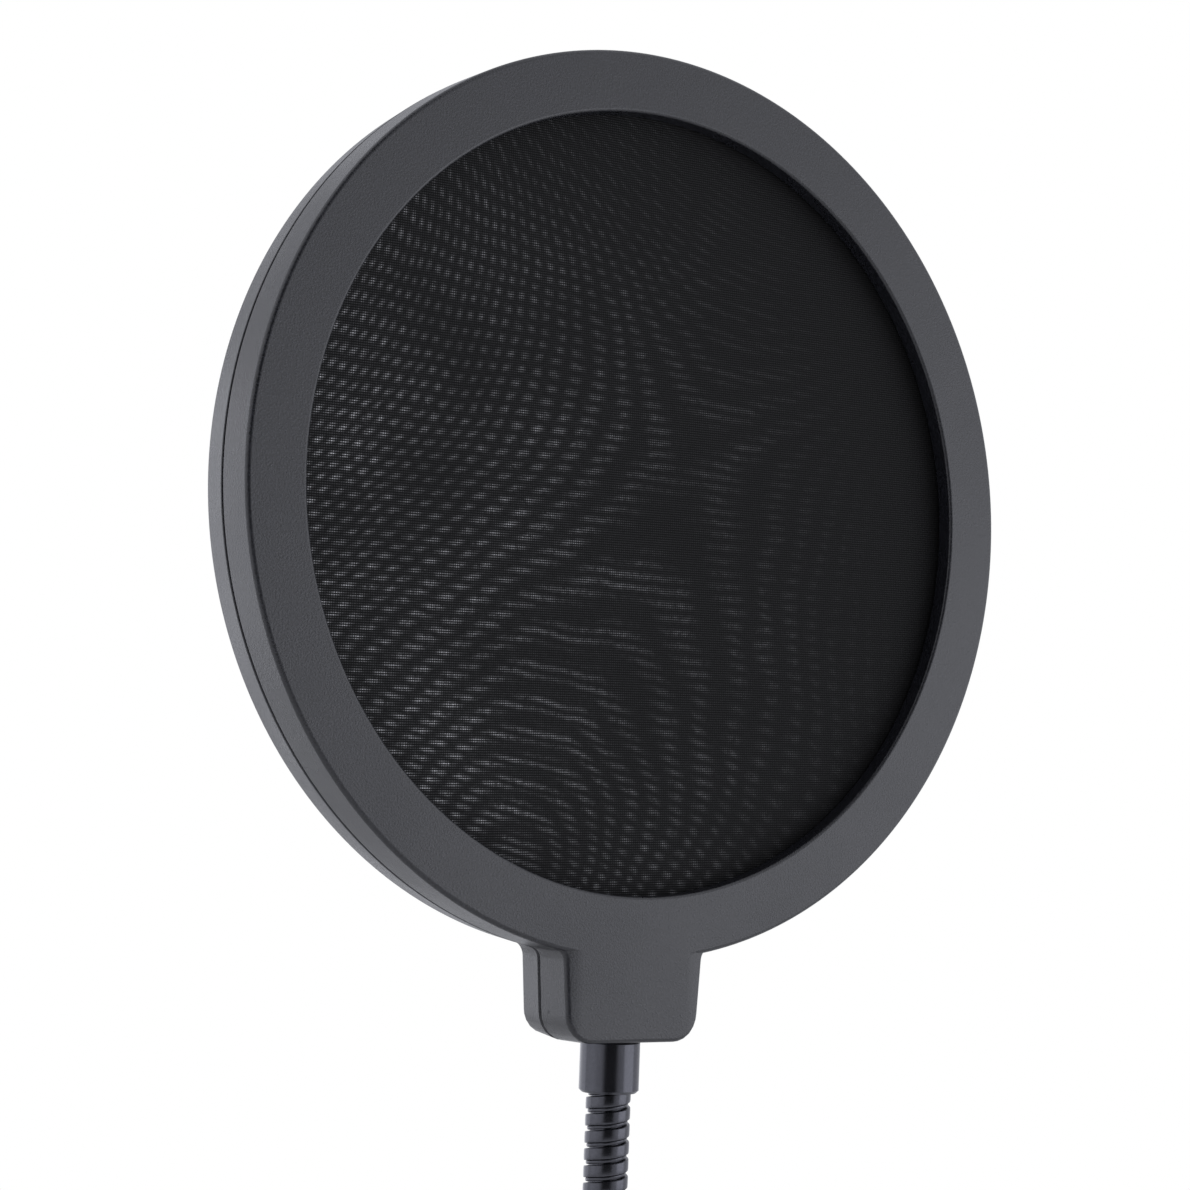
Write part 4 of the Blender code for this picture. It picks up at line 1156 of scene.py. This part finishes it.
def build_jaw_pad(rubber):
    low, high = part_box("jaw_pad")
    half_height = (high.z - low.z) / 2
    half_width = (high.y - low.y) / 2
    corner = 2 * CLAMP_EDGE
    outline = softened([
        (-half_height, -half_width, corner),
        (half_height, -half_width, corner),
        (half_height, half_width, corner),
        (-half_height, half_width, corner),
    ])
    pad = slab("jaw_rubber", outline, high.x - low.x, PAD_EDGE, middle("jaw_pad"), ALONG_X)
    grooves = []
    for number in PAD_GROOVES:
        groove_z = number * PAD_GROOVE_PITCH
        grooves.append(block(
            f"groove_{number}",
            (high.x - PAD_GROOVE_DEPTH, low.y - OVERSHOOT, groove_z - PAD_GROOVE_HALF),
            (high.x + OVERSHOOT, high.y + OVERSHOOT, groove_z + PAD_GROOVE_HALF),
        ))
    cut(pad, *grooves)
    dress(pad, rubber, "clamp", "rubber", "jaw_pad")


def build_moving_jaw(plastic, rubber):
    low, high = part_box("pad_face")
    radius = (high.y - low.y) / 2
    thickness = high.x - low.x
    # radius, place along the screw, rounding
    corners = [(0, 0, 0)]
    for ring in FACE_RINGS:
        corners += [
            (ring - FACE_RING_HALF, 0, 0.12 * MM),
            (ring - FACE_RING_HALF, FACE_RING_DEPTH, 0.1 * MM),
            (ring + FACE_RING_HALF, FACE_RING_DEPTH, 0.1 * MM),
            (ring + FACE_RING_HALF, 0, 0.12 * MM),
        ]
    corners += [(radius, 0, 0.5 * MM), (radius, thickness, 0.15 * MM), (0, thickness, 0)]
    face = lathe("pad_rubber", softened(corners), (low.x, 0, 0), ALONG_X)
    dress(face, rubber, "moving_jaw", "rubber", "pad_face")
    low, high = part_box("pad_plate")
    length = high.x - low.x
    plate = lathe("jaw_plate", softened([
        (CLIP_RECESS, 0, 0),
        (radius, 0, 0.2 * MM),
        (radius, PLATE_DISC, 1.0 * MM),
        (PLATE_HUB + 0.4 * MM, PLATE_DISC, 0.8 * MM),
        (PLATE_HUB, length, 0.6 * MM),
        (PLATE_BORE, length, 0.2 * MM),
        (PLATE_BORE, CLIP_RECESS_DEPTH, 0),
        (CLIP_RECESS, CLIP_RECESS_DEPTH, 0),
    ]), (low.x, 0, 0), ALONG_X)
    dress(plate, plastic, "moving_jaw", "clamp_plastic", "pad_plate")


TIP_RADIUS = 2.5 * MM
TIP_GROOVE = 1.7 * MM
THREAD_PITCH = 2.0 * MM
# rise along the thread, radius
THREAD_PROFILE = [
    (0.00 * MM, 3.12 * MM), (0.30 * MM, 3.12 * MM), (0.42 * MM, 3.20 * MM), (0.84 * MM, 3.90 * MM),
    (0.94 * MM, 3.98 * MM), (1.10 * MM, 4.00 * MM), (1.26 * MM, 3.98 * MM), (1.36 * MM, 3.90 * MM),
    (1.78 * MM, 3.20 * MM), (1.90 * MM, 3.12 * MM),
]


def build_clamp_screw(zinc, brass):
    low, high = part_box("clamp_screw")
    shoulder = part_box("pad_plate")[1].x + GAP
    thread = helix("screw_thread", THREAD_PROFILE, THREAD_PITCH, shoulder, high.x, turn=ALONG_X)
    dress(thread, zinc, "screw", "zinc", "clamp_screw")
    clip_low, clip_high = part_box("pad_clip")
    tip = lathe("screw_tip", softened([
        (0, low.x, 0),
        (TIP_RADIUS, low.x, 0.2 * MM),
        (TIP_RADIUS, clip_low.x - GAP, 0),
        (TIP_GROOVE, clip_low.x - GAP, 0),
        (TIP_GROOVE, clip_high.x + GAP, 0),
        (TIP_RADIUS, clip_high.x + GAP, 0),
        (TIP_RADIUS, shoulder, 0),
        (0, shoulder, 0),
    ]), turn=ALONG_X, steps=BORE_STEPS)
    dress(tip, zinc, "screw", "zinc", "clamp_screw")
    low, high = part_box("clamp_nut")
    nut = bored_nut("thread_nut", NUT_FLATS, SCREW_RADIUS + GAP, high.x - low.x, (low.x, 0, 0), ALONG_X)
    dress(nut, brass, "clamp", "brass", "clamp_nut")


KNOB_LOBES = 6
KNOB_LOBE_DEPTH = 1.3 * MM
KNOB_FLUTES = 72
KNOB_FLUTE_DEPTH = 0.14 * MM
KNOB_FLUTE_FADE = 1.2 * MM
KNOB_HUB_RADIUS = 9.0 * MM
KNOB_HUB = 6.0 * MM
KNOB_STEPS = 576
CAP_DISH_RADIUS = 6.0 * MM
CAP_DISH_SLOPE = 0.2 * MM
CAP_DISH_DEPTH = 0.3 * MM


def build_knob(plastic, cap_plastic):
    low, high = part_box("clamp_knob")
    cap_low, cap_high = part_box("knob_cap")
    mean_radius = high.z - KNOB_LOBE_DEPTH - KNOB_FLUTE_DEPTH
    flutes_from = mean_radius - KNOB_FLUTE_FADE

    def lobed(radius, angle):
        lobes = max(0.0, radius - KNOB_HUB_RADIUS) / (mean_radius - KNOB_HUB_RADIUS)
        flutes = max(0.0, radius - flutes_from) / KNOB_FLUTE_FADE
        wave = lobes * KNOB_LOBE_DEPTH * math.cos(KNOB_LOBES * angle)
        return radius + wave + flutes * KNOB_FLUTE_DEPTH * math.cos(KNOB_FLUTES * angle)

    cap_radius = (cap_high.y - cap_low.y) / 2
    bore = SCREW_RADIUS + GAP
    bore_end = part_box("clamp_screw")[1].x + GAP
    grip_low = low.x + KNOB_HUB
    # radius, place along the screw, rounding
    knob = lathe("knob", softened([
        (0, bore_end, 0),
        (bore, bore_end, 0),
        (bore, low.x, 0.3 * MM),
        (KNOB_HUB_RADIUS - 0.8 * MM, low.x, 0.8 * MM),
        (KNOB_HUB_RADIUS, grip_low, 0.5 * MM),
        (mean_radius, grip_low, CLAMP_EDGE),
        (mean_radius, high.x, CLAMP_EDGE),
        (cap_radius + GAP, high.x, 0.3 * MM),
        (cap_radius + GAP, cap_low.x - GAP, 0),
        (0, cap_low.x - GAP, 0),
    ]), turn=ALONG_X, steps=KNOB_STEPS, warp=lobed)
    dress(knob, plastic, "screw", "clamp_plastic", "clamp_knob")
    cap = lathe("cap", softened([
        (0, cap_low.x, 0),
        (cap_radius, cap_low.x, 0),
        (cap_radius, cap_high.x - 0.1 * MM, 0.4 * MM),
        (CAP_DISH_RADIUS + CAP_DISH_SLOPE, cap_high.x, 0.2 * MM),
        (CAP_DISH_RADIUS, cap_high.x - CAP_DISH_DEPTH, 0.15 * MM),
        (0, cap_high.x - CAP_DISH_DEPTH - 0.05 * MM, 0),
    ]), turn=ALONG_X)
    dress(cap, cap_plastic, "screw", "clamp_plastic", "knob_cap")


add_camera()
looks = {name: moulded(name, **look) for name, look in LOOKS.items()}
build_front_frame(looks["frame_plastic"])
build_rear_frame(looks["frame_plastic"])
build_screens(woven("screen_nylon"))
build_coil(looks["black_lacquer"])
build_upper_ferrule(looks["black_lacquer"])
build_tab_screws(looks["zinc"])
dress_hidden_parts(looks["zinc"], looks["spacer_plastic"])
build_lower_ferrule(looks["black_lacquer"])
build_swivel_body(looks["clamp_plastic"])
build_swivel_bolt(looks["zinc"])
build_clamp_frame(looks["clamp_plastic"])
build_jaw_pad(looks["rubber"])
build_moving_jaw(looks["clamp_plastic"], looks["rubber"])
build_clamp_screw(looks["zinc"], looks["brass"])
build_knob(looks["clamp_plastic"], looks["cap_plastic"])
add_studio(looks["floor_paint"])
